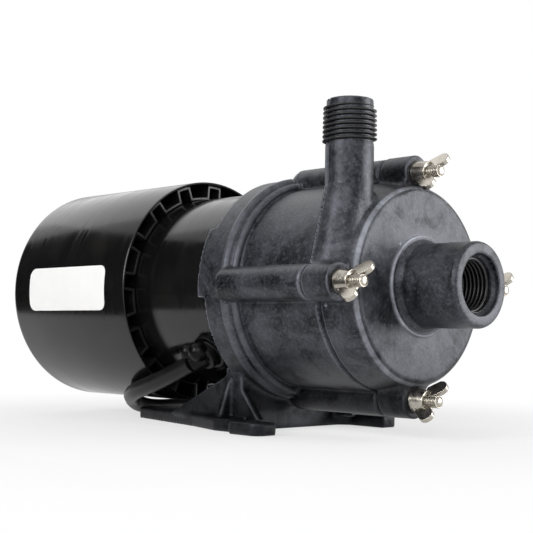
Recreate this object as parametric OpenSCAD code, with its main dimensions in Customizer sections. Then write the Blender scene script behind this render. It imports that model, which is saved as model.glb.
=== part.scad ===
// Magnetic drive pump with a fan-cooled motor, in millimetres.
// X runs along the shaft towards the inlet, Z is up.
// The origin lies midway between the two front foot holes, on the foot's underside.

/* [Casing] */
// Front plate's face, ahead of the front foot holes
casing_front_x = 58; // [52:0.5:66]
// Depth of the volute housing from its front plate to the seam
housing_depth = 17; // [16:0.5:22]
// Radius of the housing at the seam
seam_r = 42.1; // [40.5:0.1:44]
// Radius of the housing behind its rounded front edge
plate_r = 39.6; // [38:0.1:41]
// Rounding of the housing's front edge
edge_round = 3; // [1:0.25:4]
// Wall of the housing
casing_wall = 3.5; // [2.5:0.25:4.5]
// Radius of the pump chamber
chamber_r = 35.8; // [34:0.1:36.5]

/* [Inlet] */
// Outer radius of the inlet boss
inlet_r = 16.5; // [14.5:0.25:18]
// Length of the inlet boss ahead of the front plate
inlet_len = 27.8; // [22:0.5:34]
// Radius of the inlet's threaded wall
inlet_thread_r = 10.6; // [10:0.1:11.2]
// Length of the inlet's threaded wall
inlet_thread_len = 15.5; // [12:0.5:17]
// Radius of the recess at the inlet's mouth
mouth_r = 11.8; // [11.4:0.1:12.6]
// Depth of the recess at the inlet's mouth
mouth_depth = 2.6; // [1:0.1:4]
// Radius of the throat behind the thread
throat_r = 9; // [8:0.1:9.5]
// Radius of the raised collar at the foot of the inlet boss
collar_r = 19.8; // [18.5:0.1:22]
// Height of the raised collar
collar_h = 2.6; // [1:0.1:4]

/* [Outlet] */
// Outer radius of the outlet pipe
outlet_r = 9.4; // [8.6:0.1:10]
// Radius of the outlet's bore
outlet_bore_r = 6.6; // [5:0.1:7]
// Distance of the outlet's axis to the side of the shaft
outlet_side = 29.2; // [27:0.1:30]
// Distance of the outlet's axis ahead of the seam
outlet_ahead = 4; // [3:0.25:6]
// Height of the outlet's end above the shaft
outlet_top = 71; // [66:0.5:85]
// Radius at the root of the outlet's thread
outlet_thread_r = 9.1; // [8.2:0.1:9.3]
// Length of the outlet's threaded end
outlet_thread_len = 17.6; // [14:0.4:22]
// Lean of the fairing that joins the outlet to the casing, in degrees
fairing_lean = 12; // [8:0.5:14]
// Height above the shaft where the fairing leaves the pipe
fairing_top = 40; // [36:0.5:46]

/* [Clamp studs] */
// Radius of the circle of clamp studs
stud_circle_r = 44.8; // [44:0.1:47]
// Radius of a boss on the volute housing
boss_r = 7.2; // [6.4:0.1:8]
// Distance of the boss faces behind the front plate
boss_setback = 2.9; // [2:0.1:4]
// Radius of a barrel on the bracket
barrel_r = 6.9; // [6.2:0.1:7.6]
// Distance of the barrels' rear ends from the seam
barrel_len = 53; // [50:0.5:58]
// Radius of a stud
stud_r = 2.4; // [2:0.1:3]
// Length of stud that stands ahead of its boss
stud_reach = 12; // [9:0.5:16]
// Length of stud set in the bracket
stud_grip = 16; // [10:0.5:24]

/* [Wing nuts] */
// Radius at the top of a wing nut's hub
nut_top_r = 4.2; // [3.8:0.1:4.6]
// Height of a wing nut's hub
nut_h = 6.2; // [5:0.1:8]
// Thickness of a wing
wing_t = 2; // [1.4:0.1:2.6]
// Width of a wing
wing_w = 6; // [5:0.1:7]
// Length of a wing from its root
wing_len = 10; // [8:0.25:12]
// Rise of a wing, in degrees
wing_rise = 52; // [44:1:58]
// Direction of the upper wing at rest, in degrees from vertical
wing_turn = 42; // [0:1:90]

/* [Bracket] */
// Outer radius of the drum
drum_r = 42.5; // [41.5:0.1:44]
// Wall of the drum
drum_wall = 3.2; // [2.8:0.1:4]
// Length of the drum behind the seam
drum_len = 45.4; // [44:0.2:52]
// Thickness of the drum's rear wall
rear_wall = 3.9; // [3:0.1:5]
// Outer radius of the band that holds the motor
band_r = 47.2; // [46:0.1:49]
// Length of the band behind the drum's rear wall
band_len = 10; // [8:0.5:14]
// Further reach of the band's two side lugs
lug_len = 3.7; // [2:0.1:6]
// Height of the lugs' lower end below the shaft
lug_low = 5; // [2:0.5:10]
// Height of the lugs' upper end above the shaft
lug_high = 24; // [18:0.5:30]
// Radius of the flange's outer bead
bead_r = 2.1; // [1.2:0.1:2.2]
// Radius of the flange's inner bead
small_bead_r = 1.6; // [0.9:0.1:1.8]
// Half width of the gaps in the beads above and below
bead_gap = 8; // [7.4:0.2:12]

/* [Foot] */
// Thickness of the foot plate
plate_t = 5.2; // [4:0.2:7]
// Reach of the foot behind the front holes
foot_rear = 95; // [86:0.5:102]
// Half width of the foot's rear end
foot_rear_w = 20; // [17:0.5:23]
// Half width of the foot beside the pedestal
foot_mid_w = 38.5; // [36:0.5:42]
// Reach of the pads ahead of the front holes
pad_front = 11.5; // [9:0.5:15]
// Half width inside the front pads
pad_in = 33; // [31:0.5:34]
// Half width outside the front pads
pad_out = 44; // [43:0.5:48]
// Rounding of the foot's rear corners
foot_round = 3; // [2.5:0.25:5]
// Rounding of the pads' outer corners
pad_round = 5; // [2:0.25:6]
// Radius of the foot holes
foot_hole_r = 2.6; // [2:0.1:3]
// Spacing of the front foot holes
front_hole_gap = 77; // [76:0.5:80]
// Spacing of the rear foot holes
rear_hole_gap = 40; // [32:0.5:42]
// Distance of the rear foot holes behind the front ones
rear_hole_back = 52; // [44:0.5:56]
// Half width of the pedestal
pedestal_w = 30.5; // [29.5:0.25:32]
// Wall of the pedestal
pedestal_wall = 3.5; // [2.5:0.25:4.5]
// Pedestal's front wall, behind the front foot holes
pedestal_back = 12; // [11:0.25:13]
// Height of the pedestal's sloping webs
web_h = 22.5; // [18:0.5:26]
// Distance of the rear webs' ends behind the front foot holes
web_rear = 58; // [50:0.5:66]
// Height of the front gussets
gusset_h = 17.3; // [14:0.5:20]
// Reach of the front gussets ahead of the pedestal
gusset_len = 10.3; // [8:0.25:13]
// Spread of the outer gussets at the foot
outer_gusset = 6; // [4:0.25:7]

/* [Barrier and spindle] */
// Thickness of the barrier's flange
barrier_flange = 4; // [3.5:0.25:5]
// Inner radius of the barrier's cup
barrier_r = 20; // [19.6:0.1:20.4]
// Wall of the barrier's cup
barrier_wall = 1.5; // [1.2:0.1:1.8]
// Depth of the barrier's cup from the seam
barrier_depth = 35; // [33:0.5:36]
// Thickness of the barrier's closed end
barrier_end = 2.5; // [2:0.1:3]
// Height of the spindle's rear socket
socket_h = 4; // [3:0.25:5]
// Radius of the spindle
spindle_r = 3; // [2.6:0.1:3.4]
// Radius of the seal's section
seal_r = 1.2; // [0.9:0.05:1.5]
// Radius of the seal's ring
seal_ring_r = 37.3; // [37.2:0.05:37.4]

/* [Impeller] */
// Radius of the impeller
impeller_r = 32; // [28:0.5:34]
// Height of the vanes
vane_h = 6; // [4.5:0.25:6.5]
// Number of vanes
vanes = 6; // [4:1:8]
// Thickness of a vane
vane_t = 1.8; // [1.2:0.1:2.4]
// Thickness of the impeller's discs
disc_t = 1.5; // [1.2:0.1:1.6]
// Radius of the impeller's eye
eye_r = 11; // [9.5:0.25:13]
// Radius of the magnet capsule
capsule_r = 19; // [18.2:0.1:19.4]
// Radius of the impeller's hub
hub_r = 7.4; // [6.8:0.1:8]
// Wall between the driven magnet and the water
capsule_wall = 2; // [1.5:0.1:2.5]
// Outer radius of the bushing
bush_r = 5.6; // [5:0.1:6]

/* [Drive magnet] */
// Gap between the barrier and the drive magnets
magnet_gap = 1.1; // [0.8:0.1:1.5]
// Thickness of the drive magnets
magnet_t = 5; // [4:0.1:5.5]
// Length of the drive magnets
magnet_len = 26; // [22:0.5:27]
// Number of drive magnets
magnets = 8; // [6:2:12]
// Wall of the drive cup
cup_wall = 3; // [2:0.1:3.5]
// Radius of the drive cup's hub
cup_hub_r = 9; // [8:0.1:9.4]
// Length of the drive cup's hub
cup_hub_len = 12; // [10:0.25:13]

/* [Motor] */
// Outer radius of the motor can
can_r = 43; // [42:0.1:43.5]
// Wall of the motor can
can_wall = 1.2; // [0.8:0.1:1.6]
// Length of the motor can
can_len = 127.7; // [122:0.5:130]
// Radius of the motor shaft
shaft_r = 4; // [3.5:0.1:4.2]
// Outer radius of the bearings
bearing_r = 11; // [9.5:0.1:12]
// Width of the bearings
bearing_w = 7; // [5:0.25:8]
// Thickness of the end bells
bell_t = 5.7; // [4.5:0.1:6.5]
// Length of the laminated cores
core_len = 55; // [45:1:60]
// Distance of the cores behind the motor's front face
core_back = 36.7; // [34:0.5:42]
// Radius of the rotor
rotor_r = 21; // [18:0.5:24]
// Reach of the end windings past the core
winding_len = 13; // [9:0.5:14]

/* [Fan and shroud] */
// Outer radius of the shroud
shroud_r = 51.5; // [50.5:0.1:53]
// Gap between the shroud and the foot plate, which sets the shaft's height
shroud_gap = 3.3; // [2:0.1:8]
// Sheet thickness of the shroud
shroud_wall = 1; // [0.8:0.1:1.4]
// Length of the shroud
shroud_len = 91.5; // [86:0.5:98]
// Reach of the shroud past the motor can's rear end
shroud_past = 22.5; // [20:0.25:26]
// Rounding of the shroud's rear edge
shroud_round = 5; // [3:0.25:5.5]
// Number of air slots in the shroud's rear face
air_slots = 20; // [12:1:24]
// Width of an air slot
air_slot_w = 3; // [2:0.1:3.6]
// Inner radius of the ring of air slots
air_slot_in = 14; // [11:0.5:18]
// Outer radius of the ring of air slots
air_slot_out = 36; // [30:0.5:38]
// Radius of the fan
fan_r = 38; // [32:0.5:39]
// Number of fan blades
fan_blades = 9; // [5:1:11]
// Length of the fan along the shaft
fan_len = 9; // [7:0.25:11]
// Radius of the circle of shroud screws
screw_circle_r = 43.5; // [43:0.1:44]

/* [Screws] */
// Radius of the screws in bracket and shroud
screw_r = 2; // [1.5:0.1:2.2]
// Radius of their heads
screw_head_r = 3.6; // [3:0.1:3.8]
// Height of their heads
screw_head_h = 2.6; // [1.8:0.1:3]
// Length of the shroud screws below their heads
screw_grip = 8; // [5:0.5:14]

/* [Spacer ring] */
// Number of lobes round the ring, an even number
lobes = 16; // [12:2:18]
// Width of a lobe
lobe_w = 8.1; // [7:0.1:9]
// Wall of the ring
ring_wall = 1.2; // [0.9:0.1:1.6]
// Length of the ring along the motor
ring_len = 12; // [8:0.5:20]
// Distance of the ring inside the shroud's rim
ring_inset = 2; // [1:0.25:6]

/* [Mains lead] */
// Diameter of the mains lead
cord_d = 7.6; // [6.8:0.1:7.7]
// Radius at the middle of the coil's turns
coil_r = 45; // [42:0.5:46]
// Turns side by side in the coil
coil_wide = 2; // [2:1:2]
// Layers in the coil
coil_high = 3; // [3:1:3]
// Wall of the tie round the coil
tie_t = 1; // [0.8:0.1:1.1]
// Width of the tie round the coil
tie_w = 10; // [6:0.5:14]
// Length of the plug's body
plug_len = 38; // [34:1:44]
// Width of the plug's body
plug_w = 26; // [22:1:30]
// Height of the plug's body
plug_h = 15; // [14:0.5:18]
// Length of the plug's pins
pin_len = 17; // [14:0.5:20]

/* [Hidden] */
$fn = 96;

// Clearances: seated, running, easy and past a cut
seat = 0.02;
run = 0.05;
ease = 0.3;
past = 1;

// Height of the shaft line, and stations along it
shaft_h = plate_t + shroud_gap + shroud_r;
seam_x = casing_front_x - housing_depth;
boss_x = casing_front_x - boss_setback;
chamber_x = casing_front_x - casing_wall;
inlet_x = casing_front_x + inlet_len;
thread_x = inlet_x - mouth_depth - inlet_thread_len;
outlet_x = seam_x + outlet_ahead;
drum_x = seam_x - drum_len;
motor_x = drum_x - rear_wall;
band_x = motor_x - band_len;
can_rear_x = motor_x - can_len;
shroud_rear_x = can_rear_x - shroud_past;
rim_x = shroud_rear_x + shroud_len;
core_x = motor_x - core_back;
studs = [[0, 1], [-1, 0], [0, -1], [1, 0]];
nut_base_r = stud_circle_r - plate_r - 0.2;

// Barrier, spindle and impeller stations
drum_in = drum_r - drum_wall;
barrier_x = seam_x - barrier_flange;
cup_floor_x = seam_x - barrier_depth;
barrier_end_x = cup_floor_x - barrier_end;
socket_x = cup_floor_x + socket_h;
washer_t = 1.6;
ledge = 3.4;
ledge_len = 4;
spider_hub_r = 5.8;
spider_hub_x = chamber_x + 0.5;
spider_len = 8;
spider_leg = 2.4;
spider_legs = 3;
spindle_socket = 6;
spindle_front_x = spider_hub_x + spindle_socket;
spindle_rear_x = cup_floor_x - barrier_end / 2;
bush_rear_x = socket_x + washer_t + ease;
bush_front_x = spider_hub_x - washer_t - ease;
disc_x = seam_x + past;
vane_x = disc_x + disc_t;
shroud_disc_x = vane_x + vane_h;

// Drive cup and motor stations
magnet_in = barrier_r + barrier_wall + magnet_gap;
magnet_out = magnet_in + magnet_t;
cup_r = magnet_out + seat + cup_wall;
cup_back_x = barrier_end_x - 2;
cup_back_t = 3.5;
cup_front_x = barrier_x - ledge_len - past;
hub_back_x = cup_back_x - cup_back_t - cup_hub_len;
bell_r = can_r - can_wall - run;
bell_boss_r = bearing_r + 3;
front_bearing_x = hub_back_x - 5 * past - bearing_w;
rear_bearing_x = can_rear_x + bell_t + 1.3;
bell_flange = 3;
fan_x = can_rear_x - bell_flange - 3 - fan_len;
shaft_rear_x = fan_x - 2;
screw_ring_r = (cup_r + drum_in) / 2;
post_r = 3;
shroud_in_x = shroud_rear_x + shroud_wall;

// Mains lead: the bushing in the can, the lead's exit from it and the coil that the lead runs to
gland_r = 8.2;
gland_angle = 38;
gland_x = band_x - gland_r - past / 2;
gland_top = can_r + 6.5;
nose_r = 6;
exit_y = -gland_top * cos(gland_angle) - past;
exit_z = shaft_h - gland_top * sin(gland_angle) - 2 * past;
lead_rest = cord_d / 2 + 0.1;
coil_centre = [-107, 105];

// Route of the lead: plan positions by eye, heights as shares of the drop from exit to rest
function drop(share) = lead_rest + share * (exit_z - lead_rest);
route = [[gland_x - 6, exit_y, exit_z], [-49, exit_y, drop(0.74)], [-63.5, -38.8, drop(0.55)],
    [-76.5, -35.4, drop(0.42)], [-86, -30.4, drop(0.325)], [-93.2, -24.6, drop(0.25)], [-97.8, -19.4, drop(0.155)],
    [-100.6, -13.2, drop(0.075)], [-102.3, -4, drop(0.01)], [-102.5, 9.5, lead_rest], [-99.6, 22, lead_rest],
    [-94, 33.5, lead_rest],
    [-86, 44, lead_rest], [-76, 53, lead_rest], [-67.5, 63, lead_rest], [-62, 73.5, lead_rest],
    [-58.8, 84.5, lead_rest + 0.3], [-57.8, 95, lead_rest + 0.7], [-58.15, 105, lead_rest + 1.05]];
exit_dir = route[1] - route[0];
lead_route = [[-71, 120.5, 21], [-79, 135, 24], [-89.5, 145.5, 28.5], [-101, 149.5, 31.8], [-107, 150.56, 31.8]];
turn_pitch = cord_d + 0.1;
coil_lift = tie_t + 0.1;
coil_in = coil_r - turn_pitch * coil_wide / 2;
coil_out = coil_r + turn_pitch * coil_wide / 2;
coil_h = turn_pitch * coil_high;
plug_turn = 170;
cord_sides = 10;

// A cylinder along the shaft line, from one station to another
module along(x0, x1, r) {
    translate([x0, 0, shaft_h]) rotate([0, 90, 0]) cylinder(h = x1 - x0, r = r);
}

// A solid of revolution about the shaft line, from a profile of radius and station
module revolve() {
    translate([0, 0, shaft_h]) rotate([0, 90, 0]) rotate_extrude() children();
}

// A ring section from station x0 to x1 and radius r0 to r1
module ring(x0, x1, r0, r1) {
    revolve() translate([r0, x0]) square([r1 - r0, x1 - x0]);
}

// A cylinder beside the shaft line, at y and z from it
module beside(x0, x1, r, y, z) {
    translate([x0, y, shaft_h + z]) rotate([0, 90, 0]) cylinder(h = x1 - x0, r = r);
}

// Upright outlet pipe's place
module at_outlet() {
    translate([outlet_x, -outlet_side, shaft_h]) children();
}

// Housing body: flared side, rounded front edge, inlet collar and inlet boss
module housing_body() {
    round_x = casing_front_x - edge_round;
    lip = 1.5;
    revolve() {
        polygon([[0, seam_x], [seam_r, seam_x], [plate_r, round_x], [0, round_x]]);
        translate([0, round_x]) square([plate_r - edge_round, edge_round]);
        translate([plate_r - edge_round, round_x]) circle(edge_round);
        polygon([[0, round_x], [collar_r, round_x], [collar_r, casing_front_x],
            [inlet_r, casing_front_x + collar_h], [0, casing_front_x + collar_h]]);
        translate([0, round_x]) square([inlet_r, inlet_x - lip - round_x]);
        translate([0, round_x]) square([inlet_r - lip, inlet_x - round_x]);
        translate([inlet_r - lip, inlet_x - lip]) circle(lip);
    }
}

// Boss of the housing at one stud, with the web that carries it
module housing_boss(side) {
    web_x = boss_x - edge_round / 2;
    beside(seam_x, boss_x, boss_r, side[0] * stud_circle_r, side[1] * stud_circle_r);
    translate([seam_x, 0, shaft_h]) rotate([atan2(side[1], side[0]), 0, 0])
        translate([0, chamber_r + casing_wall / 2, -boss_r])
            cube([web_x - seam_x, stud_circle_r - chamber_r - casing_wall / 2, 2 * boss_r]);
}

// Outlet pipe with its thread root, and the leaning fairing into the casing
module outlet_outside() {
    thread_z = outlet_top - outlet_thread_len;
    at_outlet() {
        cylinder(h = thread_z, r = outlet_r);
        translate([0, 0, thread_z - past]) cylinder(h = outlet_thread_len + past, r = outlet_thread_r);
        translate([0, 0, fairing_top]) rotate([-fairing_lean, 0, 0]) mirror([0, 0, 1])
            cylinder(h = fairing_top, r1 = outlet_r - 0.6 * past, r2 = outlet_r + past);
    }
}

// Bore of the outlet: full round above the drum, ahead of the seam below it
module outlet_inside() {
    bore_z = drum_r - past;
    rise = sqrt(pow(chamber_r, 2) - pow(outlet_side, 2)) / 2;
    at_outlet() translate([0, 0, bore_z]) cylinder(h = outlet_top, r = outlet_bore_r);
    intersection() {
        at_outlet() translate([0, 0, rise]) cylinder(h = bore_z, r = outlet_bore_r);
        translate([seam_x + casing_wall / 2, -2 * outlet_side, shaft_h])
            cube([housing_depth - casing_wall * 1.5, 2 * outlet_side, bore_z + past]);
    }
}

module volute_housing() {
    color("#37383c") {
        difference() {
            union() {
                housing_body();
                for (side = studs) housing_boss(side);
                difference() {
                    outlet_outside();
                    along(seam_x - 2 * drum_len, seam_x, drum_r + ease);
                    beside(seam_x - drum_len, seam_x, barrel_r + ease, -stud_circle_r, 0);
                }
            }
            along(seam_x - past, chamber_x, chamber_r);
            outlet_inside();
            along(chamber_x - past, inlet_x, throat_r);
            along(thread_x, inlet_x, inlet_thread_r);
            along(inlet_x - mouth_depth, inlet_x + past, mouth_r);
            for (side = studs)
                beside(seam_x - past, boss_x + past, stud_r + ease, side[0] * stud_circle_r, side[1] * stud_circle_r);
        }
        spider();
    }
}

// Three-legged support in the throat for the spindle's front end
module spider() {
    difference() {
        union() {
            along(spider_hub_x, spider_hub_x + spider_len, spider_hub_r);
            for (i = [0 : spider_legs - 1])
                translate([spider_hub_x, 0, shaft_h]) rotate([i * 360 / spider_legs, 0, 0])
                    translate([past, -spider_leg / 2, 0])
                        cube([spider_len - 2 * past, spider_leg, throat_r + past]);
        }
        along(spider_hub_x - past, spindle_front_x, spindle_r + seat);
    }
}

// Flange beads, drum and band as one profile of revolution
module bracket_rings() {
    bead_ring_r = band_r - bead_r + 0.6;
    small_ring_r = drum_r + small_bead_r * 0.9;
    bead_x = motor_x + bead_r - 0.5;
    difference() {
        revolve() {
            translate([drum_in, drum_x]) square([drum_wall, drum_len]);
            translate([drum_in, motor_x]) square([drum_r + small_bead_r - drum_in, rear_wall]);
            translate([can_r + ease, band_x]) square([band_r - can_r - ease, band_len]);
            translate([can_r, motor_x]) square([band_r - can_r - bead_r, rear_wall / 2]);
            translate([bead_ring_r, bead_x]) circle(bead_r);
            translate([small_ring_r, drum_x + small_bead_r / 2]) circle(small_bead_r);
        }
        for (s = [-1, 1])
            translate([motor_x, -bead_gap, shaft_h + s * (band_r + drum_r) / 2 - s * small_bead_r / 2])
                bead_cut(s);
    }
    ring(motor_x, drum_x, cup_hub_r + 3 * past, drum_in + past);
}

// Cutter that ends the beads short of the upper and lower barrels
module bead_cut(s) {
    cut_h = 2 * bead_r + past;
    translate([past * 0.2, 0, s > 0 ? 0 : -cut_h]) cube([2 * rear_wall, 2 * bead_gap, cut_h]);
}

// Lugs that lengthen the band at the sides
module band_lugs() {
    intersection() {
        ring(band_x - lug_len, band_x, can_r + ease, band_r);
        translate([band_x - lug_len, -2 * band_r, shaft_h - lug_low])
            cube([lug_len, 4 * band_r, lug_low + lug_high]);
    }
}

// Barrel for one stud, with a domed rear end
module bracket_barrel(side) {
    end_x = seam_x - barrel_len;
    translate([0, side[0] * stud_circle_r, shaft_h + side[1] * stud_circle_r]) rotate([0, 90, 0]) rotate_extrude() {
        translate([0, end_x]) intersection() {
            translate([0, barrel_r]) circle(barrel_r);
            square([barrel_r, barrel_r]);
        }
        translate([0, end_x + barrel_r]) square([barrel_r, barrel_len - barrel_r]);
    }
}

// One half of the foot's outline, mirrored for the other
module foot_half() {
    mid_x = -rear_hole_back + (rear_hole_back - pedestal_back) / 4;
    neck_x = -pedestal_back + 2;
    polygon([[-foot_rear + foot_round, 0], [-foot_rear + foot_round, foot_rear_w],
        [mid_x, (foot_rear_w + foot_mid_w) / 2 + 2], [-pedestal_back - 8, foot_mid_w],
        [neck_x, foot_mid_w], [neck_x + 5, pad_out], [pad_front - pad_round, pad_out],
        [pad_front - pad_round, pad_out - pad_round], [pad_front, pad_out - pad_round],
        [pad_front, pad_in], [-pedestal_back + 4, pad_in], [-pedestal_back, pad_in - 4], [-pedestal_back, 0]]);
    translate([-foot_rear, 0]) square([foot_round, foot_rear_w - foot_round]);
    translate([-foot_rear + foot_round, foot_rear_w - foot_round]) circle(foot_round);
    translate([pad_front - pad_round, pad_out - pad_round]) circle(pad_round);
}

// Side of the pedestal: rear web, post up to the band and front gusset in one plate
module pedestal_side() {
    post_h = shaft_h - sqrt(pow(band_r, 2) - pow(pedestal_w, 2)) + 2 * past;
    translate([0, pedestal_w, 0]) rotate([90, 0, 0]) linear_extrude(pedestal_wall)
        polygon([[-web_rear, plate_t - past], [-web_rear, plate_t], [band_x - lug_len, web_h],
            [band_x - lug_len, post_h], [-pedestal_back, post_h], [-pedestal_back, gusset_h],
            [-pedestal_back + gusset_len, plate_t], [-pedestal_back + gusset_len, plate_t - past]]);
    translate([band_x - lug_len, pedestal_w - past, 0]) rotate([90, 0, 90]) linear_extrude(pedestal_wall)
        polygon([[0, plate_t - past], [outer_gusset + past, plate_t - past], [outer_gusset + past, plate_t],
            [past, web_h], [0, web_h]]);
}

module motor_bracket() {
    post_h = shaft_h - can_r;
    color("#343539") difference() {
        union() {
            bracket_rings();
            band_lugs();
            for (side = studs) bracket_barrel(side);
            linear_extrude(plate_t) {
                foot_half();
                mirror([0, 1]) foot_half();
            }
            pedestal_side();
            mirror([0, 1, 0]) pedestal_side();
            translate([-pedestal_back - pedestal_wall, -pedestal_w, 0])
                cube([pedestal_wall, 2 * pedestal_w, post_h + (can_r - sqrt(pow(can_r, 2) - pow(pedestal_w, 2)))]);
            ring(barrier_x - ledge_len, barrier_x, drum_in - ledge, drum_in + past);
        }
        along(drum_x, barrier_x - ledge_len, drum_in);
        along(drum_x, seam_x + past, drum_in - ledge);
        along(barrier_x, seam_x + past, drum_in);
        along(2 * band_x, motor_x, can_r + ease);
        along(motor_x - past, drum_x + past, cup_hub_r + 3 * past);
        for (side = studs) beside(seam_x - stud_grip, seam_x + past, stud_r + seat,
            side[0] * stud_circle_r, side[1] * stud_circle_r);
        screw_places() translate([0, 0, -past]) cylinder(h = 2 * rear_wall + past, r = screw_r + seat);
        foot_holes();
    }
}

// Four upright holes in the foot
module foot_holes() {
    for (s = [-1, 1]) {
        translate([0, s * front_hole_gap / 2, -past]) cylinder(h = plate_t + 2 * past, r = foot_hole_r);
        translate([-rear_hole_back, s * rear_hole_gap / 2, -past]) cylinder(h = plate_t + 2 * past, r = foot_hole_r);
    }
}

// Places of the four screws from bracket to motor, looking forwards from the motor's front face
module screw_places() {
    for (a = [45 : 90 : 315])
        translate([motor_x, 0, shaft_h]) rotate([a, 0, 0]) translate([0, screw_ring_r, 0]) rotate([0, 90, 0]) children();
}

module separator_can() {
    color("#2c2e33") difference() {
        union() {
            along(barrier_x, seam_x, drum_in - ease);
            along(barrier_end_x, seam_x, barrier_r + barrier_wall);
        }
        difference() {
            along(cup_floor_x, seam_x + past, barrier_r);
            along(cup_floor_x - past, socket_x, 2 * spindle_r);
        }
        along(spindle_rear_x, seam_x, spindle_r + seat);
        ring(seam_x - 2 * seal_r, seam_x + past, seal_ring_r - seal_r - seat, seal_ring_r + seal_r + seat);
    }
}

module casing_o_ring() {
    color("#1a1a1a") revolve() translate([seal_ring_r, seam_x - seal_r]) circle(seal_r);
}

module spindle() {
    color("#e8e4d8") along(spindle_rear_x, spindle_front_x, spindle_r);
}

module rear_thrust_washer() {
    color("#efece2") ring(socket_x, socket_x + washer_t, spindle_r + run, bush_r);
}

module front_thrust_washer() {
    color("#efece2") ring(spider_hub_x - washer_t, spider_hub_x, spindle_r + run, bush_r);
}

// One curved vane, cut from a ring whose arc starts at the hub
module vane_outline() {
    bend_r = impeller_r * 0.72;
    intersection() {
        translate([0, bend_r]) difference() {
            circle(bend_r + vane_t / 2);
            circle(bend_r - vane_t / 2);
        }
        square([impeller_r, 2 * bend_r]);
        difference() {
            circle(impeller_r - past / 2);
            circle(hub_r - past);
        }
    }
}

module impeller() {
    color("#4a4c50") difference() {
        union() {
            along(bush_rear_x, disc_x, capsule_r);
            along(disc_x, bush_front_x, hub_r);
            along(disc_x, vane_x, impeller_r);
            ring(shroud_disc_x, shroud_disc_x + disc_t, eye_r, impeller_r);
            for (i = [0 : vanes - 1])
                translate([vane_x - past / 2, 0, shaft_h]) rotate([i * 360 / vanes, 0, 0]) rotate([90, 0, 90])
                    linear_extrude(vane_h + past) vane_outline();
        }
        along(bush_rear_x - past, bush_front_x + past, bush_r + seat);
        ring(bush_rear_x + capsule_wall - seat, disc_x - capsule_wall + seat, hub_r - seat, capsule_r - capsule_wall + seat);
    }
}

module driven_magnet() {
    color("#55504c") ring(bush_rear_x + capsule_wall, disc_x - capsule_wall, hub_r, capsule_r - capsule_wall);
}

module impeller_bushing() {
    color("#202022") ring(bush_rear_x, bush_front_x, spindle_r + run, bush_r);
}

module drive_cup() {
    color("#8b8d90") difference() {
        union() {
            along(cup_back_x - cup_back_t, cup_front_x, cup_r);
            along(hub_back_x, cup_back_x, cup_hub_r);
        }
        along(cup_back_x, cup_front_x + past, magnet_out + seat);
        along(hub_back_x - past, cup_back_x + past, shaft_r + seat);
        at_set_screw() cylinder(h = cup_hub_r, r = screw_r + seat);
    }
}

// Place of the set screw, pointing out from the shaft behind the bracket's rear wall
module at_set_screw() {
    translate([hub_back_x + screw_r + past / 2, 0, shaft_h + shaft_r + run]) children();
}

module hub_set_screw() {
    color("#3a3a3a") at_set_screw() difference() {
        cylinder(h = cup_hub_r - shaft_r - past, r = screw_r);
        translate([0, 0, cup_hub_r - shaft_r - 3 * past]) cylinder(h = 3 * past, r = screw_r / 2, $fn = 6);
    }
}

module drive_magnets() {
    gap = past;
    color("#4d4a48") difference() {
        ring(cup_back_x + past, cup_back_x + past + magnet_len, magnet_in, magnet_out);
        for (i = [0 : magnets / 2 - 1])
            translate([cup_back_x, 0, shaft_h]) rotate([i * 360 / magnets, 0, 0])
                translate([0, -gap / 2, -cup_r]) cube([magnet_len + 2 * past, gap, 2 * cup_r]);
    }
}

module motor_shaft() {
    color("#c9ccd0") along(shaft_rear_x, cup_back_x, shaft_r);
}

module rotor_core() {
    ring_h = 4;
    color("#9a9da1") difference() {
        union() {
            along(core_x - core_len, core_x, rotor_r);
            along(core_x - core_len - ring_h, core_x + ring_h, rotor_r - past);
        }
        along(core_x - core_len - 2 * ring_h, core_x + 2 * ring_h, shaft_r + seat);
    }
}

// Ball bearing with shield grooves in both faces
module bearing(x) {
    groove = 0.6;
    mid_r = (bearing_r + shaft_r) / 2;
    color("#c4c6c9") difference() {
        ring(x, x + bearing_w, shaft_r + run, bearing_r);
        ring(x - past, x + groove, mid_r - past, mid_r + 2 * past);
        ring(x + bearing_w - groove, x + bearing_w + past, mid_r - past, mid_r + 2 * past);
    }
}

module front_bearing() {
    bearing(front_bearing_x);
}

module rear_bearing() {
    bearing(rear_bearing_x);
}

module stator_core() {
    color("#7d7f83") ring(core_x - core_len, core_x, rotor_r + 8 * run, bell_r);
}

// End windings at both ends of the stator, with rounded section
module stator_windings() {
    wide = bell_r - rotor_r - 10;
    low = rotor_r + 4;
    color("#b06a35") for (x = [core_x, core_x - core_len - winding_len]) {
        revolve() {
            translate([low, x + wide / 4]) square([wide, winding_len - wide / 2]);
            translate([low + wide / 4, x]) square([wide / 2, winding_len]);
            for (r = [low + wide / 4, low + wide * 3 / 4], end = [x + wide / 4, x + winding_len - wide / 4])
                translate([r, end]) circle(wide / 4);
        }
    }
}

module front_end_bell() {
    color("#a9abae") difference() {
        union() {
            along(motor_x - bell_t, motor_x, bell_r);
            along(front_bearing_x, motor_x - bell_t, bell_boss_r);
        }
        along(front_bearing_x - past, front_bearing_x + bearing_w, bearing_r + seat);
        along(front_bearing_x, motor_x, shaft_r + 2);
        along(hub_back_x - past, motor_x + past, cup_hub_r + past);
        screw_places() translate([0, 0, past - bell_t]) cylinder(h = bell_t, r = screw_r + seat);
    }
}

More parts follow.
